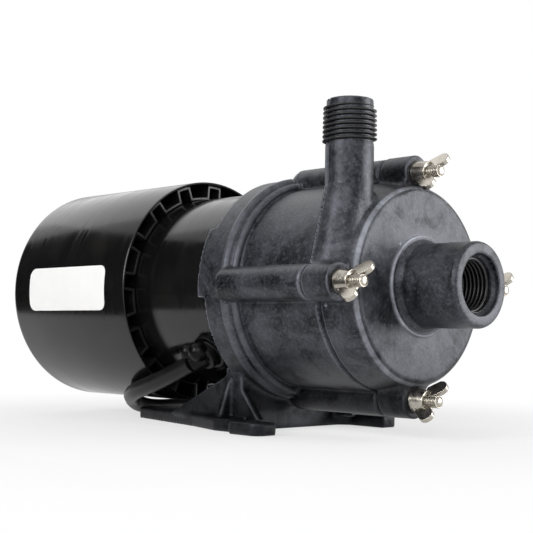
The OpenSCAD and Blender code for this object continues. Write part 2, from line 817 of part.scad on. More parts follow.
module rear_end_bell() {
    color("#a9abae") difference() {
        union() {
            along(can_rear_x - bell_flange, can_rear_x, can_r);
            along(can_rear_x, can_rear_x + bell_t, bell_r);
            along(can_rear_x, rear_bearing_x + bearing_w, bell_boss_r);
            shroud_posts() {
                cylinder(h = bell_flange, r = post_r + 1.5 * past);
                mirror([0, 0, 1]) cylinder(h = can_rear_x - bell_flange - shroud_in_x, r = post_r);
            }
        }
        along(rear_bearing_x, rear_bearing_x + bearing_w + past, bearing_r + seat);
        along(can_rear_x - 2 * bell_flange, rear_bearing_x, shaft_r + past);
        shroud_posts() mirror([0, 0, 1]) cylinder(h = shroud_past, r = screw_r + seat);
    }
}

// Places of the posts that carry the shroud, on the rear bell's rear face, pointing forwards
module shroud_posts() {
    for (a = [30 : 120 : 270])
        translate([can_rear_x - bell_flange, 0, shaft_h]) rotate([a, 0, 0])
            translate([0, screw_circle_r, 0]) rotate([0, 90, 0]) children();
}

module bracket_screws() {
    color("#b9bcc0") screw_places() {
        translate([0, 0, past - bell_t]) cylinder(h = bell_t + rear_wall - past, r = screw_r);
        translate([0, 0, rear_wall]) cylinder(h = screw_head_h, r = screw_head_r);
    }
}

// Bushing's axis: out of the can at the low near side
module at_gland() {
    translate([gland_x, 0, shaft_h]) rotate([90 + gland_angle, 0, 0]) children();
}

module motor_can() {
    color("#141414") difference() {
        ring(can_rear_x, motor_x, can_r - can_wall, can_r);
        at_gland() cylinder(h = 2 * can_r, r = gland_r - past + ease);
    }
}

module cooling_fan() {
    hub_r = 2 * shaft_r;
    plate = 1.6;
    color("#2a2a2c") difference() {
        union() {
            along(fan_x, fan_x + fan_len, hub_r);
            along(fan_x + fan_len - plate, fan_x + fan_len, fan_r);
            for (i = [0 : fan_blades - 1])
                translate([fan_x, 0, shaft_h]) rotate([i * 360 / fan_blades, 0, 0])
                    translate([past / 2, -plate / 2, hub_r - past]) cube([fan_len - plate, plate, fan_r - hub_r]);
        }
        along(fan_x - past, fan_x + fan_len + past, shaft_r + seat);
    }
}

// Section of the drawn cup, shrunk by a wall for its inside
module cup_section(wall) {
    r = shroud_r - wall;
    x = shroud_rear_x + wall;
    bend = shroud_round - wall;
    translate([0, x]) square([r - bend, rim_x - x]);
    translate([0, x + bend]) square([r, rim_x - x - bend]);
    translate([r - bend, x + bend]) circle(bend);
}

module fan_shroud() {
    color("#121212") difference() {
        revolve() difference() {
            cup_section(0);
            translate([0, past]) intersection() {
                translate([0, -past]) cup_section(shroud_wall);
                translate([0, shroud_rear_x - past]) square([shroud_r, shroud_len + past]);
            }
            cup_section(shroud_wall);
        }
        for (i = [0 : air_slots - 1])
            translate([shroud_rear_x - past, 0, shaft_h]) rotate([i * 360 / air_slots, 0, 0])
                translate([0, -air_slot_w / 2, air_slot_in])
                    cube([shroud_wall + 2 * past, air_slot_w, air_slot_out - air_slot_in]);
        shroud_posts() mirror([0, 0, 1]) cylinder(h = 2 * shroud_past, r = screw_r + seat);
    }
}

module shroud_screws() {
    reach = can_rear_x - bell_flange - shroud_rear_x;
    color("#2b2b2d") shroud_posts() mirror([0, 0, 1]) {
        translate([0, 0, reach - screw_grip]) cylinder(h = screw_grip, r = screw_r);
        translate([0, 0, reach]) cylinder(h = screw_head_h / 2, r = screw_head_r);
    }
}

// Castellated outline: a circle with straight-sided lobes
module lobed_outline(r_in, r_out, w) {
    circle(r_in);
    intersection() {
        circle(r_out);
        for (i = [0 : lobes / 2 - 1])
            rotate((i - 0.15) * 360 / lobes) square([2 * r_out, w], center = true);
    }
}

module shroud_spacer() {
    r_in = can_r + ease;
    r_out = shroud_r - shroud_wall - ease;
    color("#1b1b1c") translate([rim_x - ring_inset - ring_len, 0, shaft_h]) rotate([0, 90, 0])
        linear_extrude(ring_len) difference() {
            lobed_outline(r_in + ring_wall, r_out, lobe_w);
            lobed_outline(r_in, r_out - ring_wall, lobe_w - 2 * ring_wall);
        }
}

module casing_studs() {
    color("#d8d2c6") for (side = studs)
        beside(seam_x - stud_grip, boss_x + stud_reach, stud_r, side[0] * stud_circle_r, side[1] * stud_circle_r);
}

// Wing nut on the stud at one side: flared hub and two rising wings
module wing_nut(side) {
    tip_r = wing_w / 2;
    color("#d9d4c8") translate([boss_x + run, side[0] * stud_circle_r, shaft_h + side[1] * stud_circle_r])
        rotate([-wing_turn, 0, 0]) difference() {
            union() {
                rotate([0, 90, 0]) cylinder(h = nut_h, r1 = nut_base_r, r2 = nut_top_r);
                for (m = [0, 1]) mirror([0, 0, m]) translate([nut_h - wing_w / 2, wing_t / 2, stud_r + run])
                    rotate([90, 0, 0]) linear_extrude(wing_t) rotate(90 - wing_rise) {
                        translate([0, -tip_r]) square([wing_len - tip_r, wing_w]);
                        translate([wing_len - tip_r, 0]) circle(tip_r);
                    }
            }
            rotate([0, 90, 0]) translate([0, 0, -past]) cylinder(h = nut_h + wing_len + past, r = stud_r + run);
            translate([-2 * wing_w, -wing_w, -2 * wing_len]) cube([2 * wing_w, 2 * wing_w, 4 * wing_len]);
            nut_underside();
        }
}

// Clears the wings above the casing's rounded edge, outside the hub
module nut_underside() {
    clear_x = boss_setback + ease;
    difference() {
        translate([-past, -2 * wing_w, -2 * wing_len]) cube([clear_x + past, 4 * wing_w, 4 * wing_len]);
        rotate([0, 90, 0]) translate([0, 0, -2 * past]) cylinder(h = clear_x + 4 * past, r = nut_base_r);
    }
}

module wing_nut_top() {
    wing_nut(studs[0]);
}

module wing_nut_near() {
    wing_nut(studs[1]);
}

module wing_nut_bottom() {
    wing_nut(studs[2]);
}

module wing_nut_far() {
    wing_nut(studs[3]);
}

// Right-angle bushing: round body through the can, with a nose that turns the lead rearwards
module strain_relief() {
    nose_len = 10;
    color("#161616") {
        difference() {
            at_gland() {
                translate([0, 0, can_r - 3 * can_wall]) cylinder(h = 3 * can_wall + past, r = gland_r - past);
                translate([0, 0, can_r + ease]) cylinder(h = gland_top - can_r - ease, r = gland_r);
            }
            nose_tip(-past / 2) cylinder(h = 2 * gland_r, r = 2 * gland_r);
        }
        intersection() {
            nose_tip(0) mirror([0, 0, 1]) cylinder(h = nose_len, r1 = nose_r - past, r2 = nose_r);
            translate([gland_x - 2 * gland_r, -2 * can_r, 0]) cube([4 * gland_r, 2 * can_r, shaft_h]);
        }
    }
}

// Place at the nose's end, pointing the way the lead leaves, shifted along it
module nose_tip(shift) {
    translate(route[0]) rotate([0, atan2(exit_dir[0], exit_dir[2]), 0]) translate([0, 0, shift]) children();
}

// Tube swept along a route, one ring of points at each route point
function unit(v) = v / norm(v);
function heading(p, i) = unit(p[min(i + 1, len(p) - 1)] - p[max(i - 1, 0)]);
function across(t) = unit(cross(t, [0, 0, 1]));
function ring_at(p, i, r) = let (t = heading(p, i), a = across(t), b = cross(a, t))
    [for (k = [0 : cord_sides - 1]) p[i] + r * (a * cos(k * 360 / cord_sides) + b * sin(k * 360 / cord_sides))];
module swept_tube(p, r) {
    n = len(p);
    points = [for (i = [0 : n - 1]) each ring_at(p, i, r)];
    sides = [for (i = [0 : n - 2], k = [0 : cord_sides - 1])
        [i * cord_sides + k, i * cord_sides + (k + 1) % cord_sides,
            (i + 1) * cord_sides + (k + 1) % cord_sides, (i + 1) * cord_sides + k]];
    first = [for (k = [cord_sides - 1 : -1 : 0]) k];
    last = [for (k = [0 : cord_sides - 1]) (n - 1) * cord_sides + k];
    polyhedron(points = points, faces = concat([first], sides, [last]));
}

module power_cord() {
    color("#1c1c1d") swept_tube(route, cord_d / 2);
}

module cord_coil() {
    color("#1c1c1d") translate([coil_centre[0], coil_centre[1], coil_lift]) rotate_extrude()
        translate([coil_in, 0]) square([coil_out - coil_in, coil_h]);
}

// Tie round the coil's section on its far side from the lead
module cord_tie() {
    slack = 0.5;
    wide = coil_out - coil_in + 2 * slack;
    color("#2a2a2a") translate([coil_centre[0], coil_centre[1], 0]) rotate(200)
        translate([coil_in - slack, 0, 0]) difference() {
            translate([-tie_t, -tie_w / 2, 0]) cube([wide + 2 * tie_t, tie_w, coil_h + coil_lift + tie_t + 0.1]);
            translate([0, -tie_w, tie_t]) cube([wide, 2 * tie_w, coil_h + coil_lift - tie_t + 0.1]);
        }
}

module plug_lead() {
    color("#1c1c1d") swept_tube(lead_route, cord_d / 2);
}

// Place of the plug's rear face, its length along +X
module at_plug() {
    translate(lead_route[len(lead_route) - 1]) rotate(plug_turn) children();
}

// Moulded plug: grip that narrows to the lead, and a wider face
module power_plug() {
    sleeve = 10;
    face_t = 12;
    color("#1a1a1b") at_plug() {
        rotate([0, 90, 0]) cylinder(h = sleeve + past, r1 = cord_d / 2 + past, r2 = plug_h / 2 - past);
        translate([sleeve, -plug_w / 2 + 3, -plug_h / 2 + past]) cube([plug_len - sleeve - past, plug_w - 6, plug_h - 2 * past]);
        translate([plug_len - face_t, -plug_w / 2, -plug_h / 2]) cube([face_t, plug_w, plug_h]);
    }
}

// Two flat blades and one round earth pin
module plug_pins() {
    blade_w = 6.3;
    blade_t = 1.5;
    spread = 6.35;
    color("#c9b27a") at_plug() translate([plug_len, 0, 0]) {
        for (s = [-1, 1]) translate([0, s * spread - blade_t / 2, -blade_w / 2]) cube([pin_len, blade_t, blade_w]);
        rotate([0, 90, 0]) cylinder(h = pin_len + 2 * past, r = 2.4);
    }
}

volute_housing();
motor_bracket();
separator_can();
casing_o_ring();
spindle();
rear_thrust_washer();
front_thrust_washer();
impeller();
driven_magnet();
impeller_bushing();
drive_cup();
drive_magnets();
hub_set_screw();
motor_shaft();
rotor_core();
front_bearing();
rear_bearing();
stator_core();
stator_windings();
front_end_bell();
rear_end_bell();
bracket_screws();
motor_can();
cooling_fan();
fan_shroud();
shroud_spacer();
shroud_screws();
casing_studs();
wing_nut_top();
wing_nut_near();
wing_nut_bottom();
wing_nut_far();
strain_relief();
power_cord();
cord_coil();
cord_tie();
plug_lead();
power_plug();
plug_pins();
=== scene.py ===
# %% [markdown]
# # A magnetic drive pump
# The solids of this pump come ready made: casing, bracket, motor, fan shroud and everything
# that is hidden inside them. This lesson dresses them. It moulds the plastic, cuts the threads,
# draws the sheet steel, lays the mains lead, and gives every piece a finish of its own.
# Blender counts in metres. Sizes that read better in millimetres are written so, and multiplied
# by MM where Blender gets them. The motor's shaft runs along X.

# %% Load the solids
import math
import bmesh
import bpy
import numpy
from mathutils import Matrix, Vector


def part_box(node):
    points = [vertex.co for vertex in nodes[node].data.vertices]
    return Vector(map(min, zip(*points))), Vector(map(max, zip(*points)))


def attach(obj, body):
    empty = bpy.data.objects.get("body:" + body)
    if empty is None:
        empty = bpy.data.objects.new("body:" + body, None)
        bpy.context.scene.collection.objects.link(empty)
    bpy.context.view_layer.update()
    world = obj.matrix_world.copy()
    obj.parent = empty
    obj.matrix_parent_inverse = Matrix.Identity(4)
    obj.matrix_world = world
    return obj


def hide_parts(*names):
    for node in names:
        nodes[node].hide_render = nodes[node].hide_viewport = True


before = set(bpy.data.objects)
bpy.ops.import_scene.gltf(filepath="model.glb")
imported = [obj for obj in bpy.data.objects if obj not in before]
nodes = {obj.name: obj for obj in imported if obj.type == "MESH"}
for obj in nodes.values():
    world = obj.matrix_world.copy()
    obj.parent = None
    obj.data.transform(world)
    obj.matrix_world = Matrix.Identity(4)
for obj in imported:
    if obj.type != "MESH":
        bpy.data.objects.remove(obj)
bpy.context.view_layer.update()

MM = 0.001
scene = bpy.context.scene
can_low, can_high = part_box("motor_can")
SHAFT_Z = (can_low.z + can_high.z) / 2
SHAFT_MM = SHAFT_Z / MM
print("solids:", len(nodes), " shaft height in mm:", round(SHAFT_MM, 2))

# %% [markdown]
# ## Camera
# The photograph was taken from the front left, a little below the height of the shaft, with a
# long lens. The place and the three axes of the camera were fitted to points that are easy to
# see, such as the rim of the inlet, the corners of the foot and the ends of the studs.

# %% Camera
lens = bpy.data.cameras.new("camera")
lens.sensor_width = 36
lens.lens = 76.35
lens.clip_start = 0.01
camera = bpy.data.objects.new("camera", lens)
scene.collection.objects.link(camera)
right = Vector((0.69858737, 0.71533617, 0.01642728))
up = Vector((0.03203883, -0.05420752, 0.99801556))
back = Vector((0.71480711, -0.69667475, -0.06078723))
stand = Vector((0.332381, -0.352921, 0.039766))
camera.matrix_world = Matrix((right, up, back)).transposed().to_4x4()
camera.location = stand
scene.camera = camera
scene.view_settings.view_transform = "Standard"
print("camera at", [round(value, 4) for value in stand])

# %% [markdown]
# ## Small helpers
# Colours are written as on the screen, so one function turns a hex value to the linear numbers
# that shaders use. One function adds a node to any tree with its settings and links, one gives
# inputs to a node that is there already, and one starts a material.

# %% Helpers for materials
def linear(code):
    """The linear colour of an sRGB hex value."""
    parts = [int(code[place:place + 2], 16) / 255 for place in (1, 3, 5)]
    return tuple(part / 12.92 if part <= 0.04045 else ((part + 0.055) / 1.055) ** 2.4
                 for part in parts) + (1.0,)


def feed(tree, node, inputs):
    """Gives a node its inputs, each of them a node, a socket or a plain value."""
    for socket, source in inputs.items():
        if isinstance(source, bpy.types.Node):
            source = source.outputs[0]
        if isinstance(source, bpy.types.NodeSocket):
            tree.links.new(source, node.inputs[socket])
        else:
            node.inputs[socket].default_value = source


def add(tree, kind, inputs=None, **settings):
    """One node with its settings and its inputs."""
    node = tree.nodes.new(kind)
    for key, value in settings.items():
        setattr(node, key, value)
    feed(tree, node, inputs or {})
    return node


def new_finish(name, values):
    """A material with plain values on its shader, and the tree and shader to build on."""
    finish = bpy.data.materials.new(name)
    finish.use_nodes = True
    shader = finish.node_tree.nodes["Principled BSDF"]
    feed(finish.node_tree, shader, values)
    return finish, finish.node_tree, shader

# %% [markdown]
# The other helpers serve the shapes. They put a piece in the scene, give it a modifier, turn
# what the modifiers made into a plain mesh, and hand the piece over with its finish and its
# body, hiding the solids that it stands for. The last lays points on a bow, for outlines.

# %% Helpers for pieces
def placed(name, data):
    """An object in the scene, at the origin."""
    piece = bpy.data.objects.new(name, data)
    scene.collection.objects.link(piece)
    return piece


def poured(name, build):
    """A piece with the mesh that a bmesh holds."""
    mesh = bpy.data.meshes.new(name)
    build.to_mesh(mesh)
    build.free()
    return placed(name, mesh)


def new_piece(name, build):
    """A piece from a bmesh, with doubles merged and faces turned outwards."""
    bmesh.ops.remove_doubles(build, verts=build.verts, dist=1e-7)
    bmesh.ops.recalc_face_normals(build, faces=build.faces)
    return poured(name, build)


def shaped(piece, kind, **settings):
    """Adds a modifier with its settings."""
    modifier = piece.modifiers.new(kind.lower(), kind)
    for key, value in settings.items():
        setattr(modifier, key, value)
    return modifier


def baked(piece):
    """What the modifiers of a piece made becomes its plain mesh."""
    graph = bpy.context.evaluated_depsgraph_get()
    mesh = bpy.data.meshes.new_from_object(piece.evaluated_get(graph))
    piece.modifiers.clear()
    piece.data = mesh
    return piece


def smoothed(piece, sharp=None):
    """Smooth shading, but for edges that are sharper than an angle in degrees."""
    piece.data.shade_smooth()
    if sharp:
        piece.data.set_sharp_from_angle(angle=math.radians(sharp))
    return piece


def dressed(piece, finish):
    """Gives a piece or a solid its finish."""
    piece.data.materials.clear()
    piece.data.materials.append(finish)


def settle(piece, slot, finish, *stands_for, body="pump_body"):
    """Gives a piece its finish and its body, and hides the solids that it stands for. The slot is not used.
    """
    dressed(piece, finish)
    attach(piece, body)
    if stands_for:
        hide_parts(*stands_for)
    faces = len(piece.data.polygons) if piece.type == "MESH" else 0
    print(piece.name, "on", body, "with", faces, "faces")


def arc(middle, radius, start, end, parts=8):
    """Points of a bow in an outline, in mm and degrees."""
    angles = [math.radians(start + (end - start) * part / parts) for part in range(parts + 1)]
    return [(middle[0] + radius * math.cos(angle), middle[1] + radius * math.sin(angle)) for angle in angles]

# %% [markdown]
# ## Finishes that wander
# No real surface has one colour. Moulding, turning, casting and dust all leave a pattern, and
# most of them can be read as a noise of a known grain size that moves both the colour and the
# gloss a little. On turned pieces the grain runs round the shaft, so the noise there reads only
# the place along the shaft and the distance from it.

# %% One recipe for many finishes
def about_shaft(tree, place):
    """The three parts of a place, and its distance from the shaft."""
    axis = add(tree, "ShaderNodeSeparateXYZ", {0: place}).outputs
    drop = add(tree, "ShaderNodeMath", {0: axis[2], 1: SHAFT_Z}, operation="SUBTRACT")
    across = add(tree, "ShaderNodeCombineXYZ", {1: axis[1], 2: drop})
    reach = add(tree, "ShaderNodeVectorMath", {0: across}, operation="LENGTH")
    return axis, reach.outputs["Value"]


def wandering(name, dark, light, grain, rough, relief=0.0, turned=False, values=None):
    """A finish between two colours and two roughnesses. Grain and relief are in mm."""
    finish, tree, shader = new_finish(name, values or {})
    place = add(tree, "ShaderNodeTexCoord").outputs["Object"]
    if turned:
        axis, reach = about_shaft(tree, place)
        place = add(tree, "ShaderNodeCombineXYZ", {0: axis[0], 1: reach})
    cloud = add(tree, "ShaderNodeTexNoise", {"Vector": place, "Scale": 1 / (grain * MM), "Detail": 3.0})
    share = add(tree, "ShaderNodeMapRange", {0: cloud, 1: 0.3, 2: 0.7})
    colour = add(tree, "ShaderNodeMix", {0: share, 6: linear(dark), 7: linear(light)}, data_type="RGBA")
    gloss = add(tree, "ShaderNodeMapRange", {0: cloud, 1: 0.3, 2: 0.7, 3: rough[0], 4: rough[1]})
    feed(tree, shader, {"Base Color": colour.outputs[2], "Roughness": gloss})
    if relief:
        bump = add(tree, "ShaderNodeBump", {"Height": cloud, "Distance": relief * MM, "Strength": 0.6})
        feed(tree, shader, {"Normal": bump})
    return finish

# %% [markdown]
# ## The mains lead
# The lead leaves the motor through a bushing on the near side, turns back along the can, falls
# to the ground and runs behind the foot. Of a usual lead of six feet the picture shows only
# the first hand's width, so the rest is wound into a round coil that lies behind the pump, tied
# once, with the plug on top. The coil has six lanes, each a radius and a height, and the lead
# slides from one to the next. One curve carries it all, so its length can be measured.

# %% Route of the lead
CORD = 0.0076
shown = [(-33, -40.006, 27.525), (-49, -40.006, 21.382), (-63.5, -38.8, 16.894), (-76.5, -35.4, 13.822),
         (-86, -30.4, 11.578), (-93.2, -24.6, 9.806), (-97.8, -19.4, 7.562), (-100.6, -13.2, 5.672),
         (-102.3, -4, 4.136), (-102.5, 9.5, 3.9), (-99.6, 22, 3.9), (-94, 33.5, 3.9), (-86, 44, 3.9),
         (-76, 53, 3.9), (-67.5, 63, 3.9), (-62, 73.5, 3.9), (-58.8, 84.5, 4.2), (-57.8, 95, 4.6),
         (-58.15, 105, 4.95)]
lanes = [(48.85, 4.95), (41.15, 4.95), (41.15, 12.65), (48.85, 12.65), (48.85, 20.35), (41.15, 20.35)]
LANE_TURN, SLIDE_TURN, STEP_TURN, COIL_TURN = 310, 50, 20, 1800
coil_x, coil_y = -107, 105
wound = []
for angle in range(STEP_TURN, COIL_TURN + 1, STEP_TURN):
    radius, height = lanes[0]
    for lane, (next_radius, next_height) in enumerate(lanes[1:], 1):
        share = min(max((angle - lane * LANE_TURN) / SLIDE_TURN, 0), 1)
        share = share * share * (3 - 2 * share)
        radius += (next_radius - radius) * share
        height += (next_height - height) * share
    turn = math.radians(angle)
    wound.append((coil_x + radius * math.cos(turn), coil_y + radius * math.sin(turn), height))
to_plug = [(-71, 120.5, 21), (-79, 135, 24), (-89.5, 145.5, 28.5), (-101, 149.5, 31.8),
           (-107, 150.56, 31.8)]
route = [Vector(point) * MM for point in shown + wound + to_plug]
print("points on the lead:", len(route))

# %% [markdown]
# The jacket is PVC that was drawn over the wires while hot. That leaves a satin black skin with
# faint ripples along it, and dust that dulls it in patches.

# %% Lead
jacket = wandering("extruded PVC jacket", "#0a0a0b", "#121214", 7.0, (0.36, 0.46), 0.03,
                   values={"Specular IOR Level": 0.26})
line = bpy.data.curves.new("mains_lead", "CURVE")
line.dimensions = "3D"
line.bevel_depth = CORD / 2
line.bevel_resolution = 5
line.resolution_u = 5
line.use_fill_caps = True
spline = line.splines.new("BEZIER")
spline.bezier_points.add(len(route) - 1)
for knot, place in zip(spline.bezier_points, route):
    knot.co = place
    knot.handle_left_type = knot.handle_right_type = "AUTO"
lead = placed("mains_lead", line)
settle(lead, "cord_jacket", jacket, "power_cord", "cord_coil", "plug_lead")
print("lead along its points, in m:", round(sum((b - a).length for a, b in zip(route, route[1:])), 3))

# %% [markdown]
# ## Moulded pieces
# A moulded plastic piece has no sharp inner corner: every wall flows into the next, because the
# melt has to fill the tool and the piece has to leave it. Bevelling each edge of such a shape by
# hand is long work. Here a copy of the solid is rebuilt from fine cubes and smoothed a few
# times, which rounds all edges. Where corners are filled as well, the copy is swollen, rebuilt
# and shrunk again: what was narrower than the swelling stays closed, as a fillet does.

# %% Fillets by remeshing
def welded(node):
    """A bmesh of a solid, with the corners of its faces joined."""
    weld = bmesh.new()
    weld.from_mesh(nodes[node].data)
    bmesh.ops.remove_doubles(weld, verts=weld.verts, dist=2e-6)
    return weld


def moulded_copy(node, name, voxel, rounds, fill=0.0, added=()):
    """A copy of a solid with softened edges, and corners filled by a radius. Sizes are in mm.

    Each added prism has a start and an end along the shaft, and an outline of (y, z) points."""
    weld = welded(node)
    for start, end, outline in added:
        back_edge, front_edge = [[weld.verts.new((x * MM, y * MM, z * MM)) for y, z in outline]
                                 for x in (start, end)]
        sides = [(back_edge[i - 1], back_edge[i], front_edge[i], front_edge[i - 1])
                 for i in range(len(outline))]
        prism = [weld.faces.new(corners) for corners in sides + [back_edge, front_edge]]
        bmesh.ops.recalc_face_normals(weld, faces=prism)
    piece = poured(name, weld)
    shaped(piece, "REMESH", mode="VOXEL", voxel_size=voxel * MM)
    if fill:
        shaped(piece, "DISPLACE", mid_level=0.0, strength=fill * MM)
        shaped(piece, "REMESH", mode="VOXEL", voxel_size=voxel * MM)
        shaped(piece, "DISPLACE", mid_level=0.0, strength=-fill * MM)
    shaped(piece, "SMOOTH", factor=0.5, iterations=rounds)
    return baked(piece)


def thinned(piece, keep):
    """Leaves out the faces that a smooth surface doesn't need."""
    shaped(piece, "DECIMATE", ratio=keep)
    return smoothed(baked(piece))

# %% [markdown]
# The plug is the same kind of piece: soft PVC, moulded round the pins.

# %% Plug and tie
plug = thinned(moulded_copy("power_plug", "plug_body", 0.7, 6), 0.5)
settle(plug, "cord_jacket", jacket, "power_plug")
brass = wandering("drawn brass", "#b08a3e", "#cfae62", 1.2, (0.22, 0.36), 0.01, values={"Metallic": 1.0})
nylon = wandering("moulded nylon", "#18181a", "#242427", 2.5, (0.42, 0.58), 0.02)
dressed(nodes["plug_pins"], brass)
dressed(nodes["cord_tie"], nylon)

# %% [markdown]
# ## Casing plastic
# Casing and bracket are glass filled polypropylene, moulded in a tool with a dull, slightly
# pebbled skin. The plastic is a bluish dark grey. The glass comes near the surface in cloudy
# patches of about a centimetre, and a fine salt of paler specks lies over it. Raised edges are
# painted paler than the flats, partly as rubbed wear and partly as a painted highlight, and
# Pointiness finds them. The two lips that stand out most, round the front plate and round the
# inlet, are found by their distance from the shaft and get a painted highlight on the near side.

# %% Casing patterns
SEAM_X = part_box("motor_bracket")[1].x
FACE_X, PLATE_R, COLLAR_R = 58.0, 39.6, 20.0
CLOUD, SPECK, PEBBLE = 13.0, 1.3, 0.9
soft = {"interpolation_type": "SMOOTHSTEP"}
casing_plastic, tree, shader = new_finish("moulded glass filled polypropylene",
                                          {"IOR": 1.49, "Specular Tint": linear("#eceffd")})
place = add(tree, "ShaderNodeTexCoord").outputs["Object"]
noises = [(CLOUD, 7.0, 0.72, 0.5), (SPECK, 3.0, 0.7, 0.0), (PEBBLE, 2.0, 0.5, 0.0)]
bloom, salt, pebble = [
    add(tree, "ShaderNodeTexNoise", {"Vector": place, "Scale": 1 / (size * MM), "Detail": detail,
                                     "Roughness": rough, "Distortion": twist})
    for size, detail, rough, twist in noises]
patch = add(tree, "ShaderNodeMapRange", {0: bloom, 1: 0.38, 2: 0.66})
specks = add(tree, "ShaderNodeMapRange", {0: salt, 1: 0.50, 2: 0.72, 4: 0.55})
ledge = add(tree, "ShaderNodeNewGeometry").outputs["Pointiness"]
# Edges are painted paler where Pointiness finds them: partly rubbed wear, partly a painted highlight.
rubbed_and_highlit_edges = add(tree, "ShaderNodeMapRange", {0: ledge, 1: 0.512, 2: 0.57, 4: 0.75})
axis, reach = about_shaft(tree, place)
cloudy = add(tree, "ShaderNodeMapRange", {0: bloom, 1: 0.36, 2: 0.60, 3: 0.3, 4: 1.0})
# Painted highlight on the lips round the plate and the inlet collar, strongest on the near side, where the
# light falls.
lit_near_side = add(tree, "ShaderNodeMapRange", {0: axis[1], 1: -14 * MM, 2: 14 * MM, 3: 1.0, 4: 0.2}, **soft)
lip_highlights = []
for low, high, first_x, strength in [(PLATE_R - 1.4, PLATE_R - 0.4, FACE_X - 2.0, 0.62),
                                     (COLLAR_R - 0.7, COLLAR_R + 0.2, FACE_X + 0.3, 0.95)]:
    lip = add(tree, "ShaderNodeMapRange",
              {0: reach, 1: (low - 0.4) * MM, 2: (low + 0.2) * MM, 4: strength}, **soft)
    outer = add(tree, "ShaderNodeMapRange",
                {0: reach, 1: high * MM, 2: (high + 0.5) * MM, 3: 1.0, 4: 0.0}, **soft)
    ahead = add(tree, "ShaderNodeMapRange",
                {0: axis[0], 1: (first_x - 0.5) * MM, 2: (first_x + 0.5) * MM})
    for mask in (outer, ahead, cloudy, lit_near_side):
        lip = add(tree, "ShaderNodeMath", {0: lip, 1: mask}, operation="MULTIPLY")
    lip_highlights.append(lip)
painted_lip_highlight = add(tree, "ShaderNodeMath", {0: lip_highlights[0], 1: lip_highlights[1]}, operation="MAXIMUM")
print("patterns in mm: clouds", CLOUD, "specks", SPECK, "pebbles", PEBBLE)

# %% [markdown]
# The colours lie over each other like coats of paint, each with the pattern that lets it show.
# The lower parts and the foot get a painted shade that darkens them towards the ground, and the
# seam holds dirt.

# %% Casing colours
# Painted shade: the colour grows darker towards the bottom of casing and bracket.
painted_shade_below = add(tree, "ShaderNodeMapRange", {0: axis[2], 1: 6 * MM, 2: 38 * MM, 3: 0.9, 4: 0.0}, **soft)
beside = add(tree, "ShaderNodeMath", {0: axis[0], 1: SEAM_X}, operation="SUBTRACT")
beside = add(tree, "ShaderNodeMath", {0: beside}, operation="ABSOLUTE")
seam_dirt = add(tree, "ShaderNodeMapRange", {0: beside, 1: 0.3 * MM, 2: 0.9 * MM, 3: 0.85, 4: 0.0})
colour = linear("#0f0f11")
for share, code in [(patch, "#2d2e32"), (specks, "#55575e"), (rubbed_and_highlit_edges, "#868993"), (painted_lip_highlight, "#a5a8b1"),
                    (painted_shade_below, "#08080a"), (seam_dirt, "#050505")]:
    coat = add(tree, "ShaderNodeMix", {0: share, 6: colour, 7: linear(code)}, data_type="RGBA")
    colour = coat.outputs[2]
gloss = add(tree, "ShaderNodeMapRange", {0: bloom, 1: 0.35, 2: 0.7, 3: 0.34, 4: 0.54})
sheen = add(tree, "ShaderNodeMapRange", {0: bloom, 1: 0.34, 2: 0.64, 3: 0.18, 4: 0.82})
shaded = add(tree, "ShaderNodeMapRange", {0: painted_shade_below, 2: 0.9, 3: 1.0, 4: 0.45})
sheen = add(tree, "ShaderNodeMath", {0: sheen, 1: shaded}, operation="MULTIPLY")
skin = add(tree, "ShaderNodeMath", {0: pebble, 1: salt}, operation="ADD")
grain = add(tree, "ShaderNodeBump", {"Height": skin, "Distance": 0.07 * MM, "Strength": 0.6})
feed(tree, shader, {"Base Color": colour, "Roughness": gloss, "Specular IOR Level": sheen, "Normal": grain})
print("finish:", casing_plastic.name)

# %% [markdown]
# The round forms of the solids come as many flat strips, which a remeshed copy keeps. So the
# points that lie close to a known cylinder or cone are moved onto it.

# %% True rounds
def points_of(piece, kind="co"):
    """The points of a piece, or their normals, as the rows of an array."""
    flat = numpy.empty(len(piece.data.vertices) * 3, dtype=numpy.float32)
    piece.data.vertices.foreach_get(kind, flat)
    return flat.reshape(-1, 3)


def moved_to(piece, places):
    """The piece with its points at new places."""
    piece.data.vertices.foreach_set("co", places.ravel())
    piece.data.update()
    return piece


def trued(piece, middle, radii, reach, upright=False, slack=0.2):
    """Moves points near a cylinder or cone, along X or upright, onto it. Sizes are in mm."""
    places = points_of(piece)
    line, across = (2, [0, 1]) if upright else (0, [1, 2])
    centre = numpy.array(middle, dtype=numpy.float32) * MM
    offset = places[:, across] - centre
    length = numpy.linalg.norm(offset, axis=1)
    share = (places[:, line] / MM - reach[0]) / (reach[1] - reach[0])
    goal = (radii[0] + (radii[1] - radii[0]) * share) * MM
    near = (share > 0) & (share < 1) & (abs(length - goal) < slack * MM)
    moved = centre + offset[near] * (goal[near] / length[near])[:, None]
    places[near[:, None] & numpy.isin(numpy.arange(3), across)] = moved.ravel()
    moved_to(piece, places)

# %% [markdown]
# Casing and bracket meet in a joint whose edges are broken on both sides, so it shows as a
# groove all round. Walls slope into it, and faces that look along the shaft stay where they
# are. Each clamp boss has a flat seat for its nut.

# %% Groove and seats
casing_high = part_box("volute_housing")[1]
bracket_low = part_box("motor_bracket")[0]
nut_low, nut_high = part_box("wing_nut_top")
STUD_CIRCLE = (nut_low.z + nut_high.z) / 2 - SHAFT_Z
QUARTERS = [(math.cos(math.pi / 2 * turn), math.sin(math.pi / 2 * turn)) for turn in range(4)]
studs_at = [(STUD_CIRCLE / MM * c, (SHAFT_Z + STUD_CIRCLE * s) / MM) for c, s in QUARTERS]
GROOVE_WIDTH, GROOVE_DEPTH, LEAST_SIDEWAYS, SEAT_R = 1.2, 1.0, 0.15, 5.25


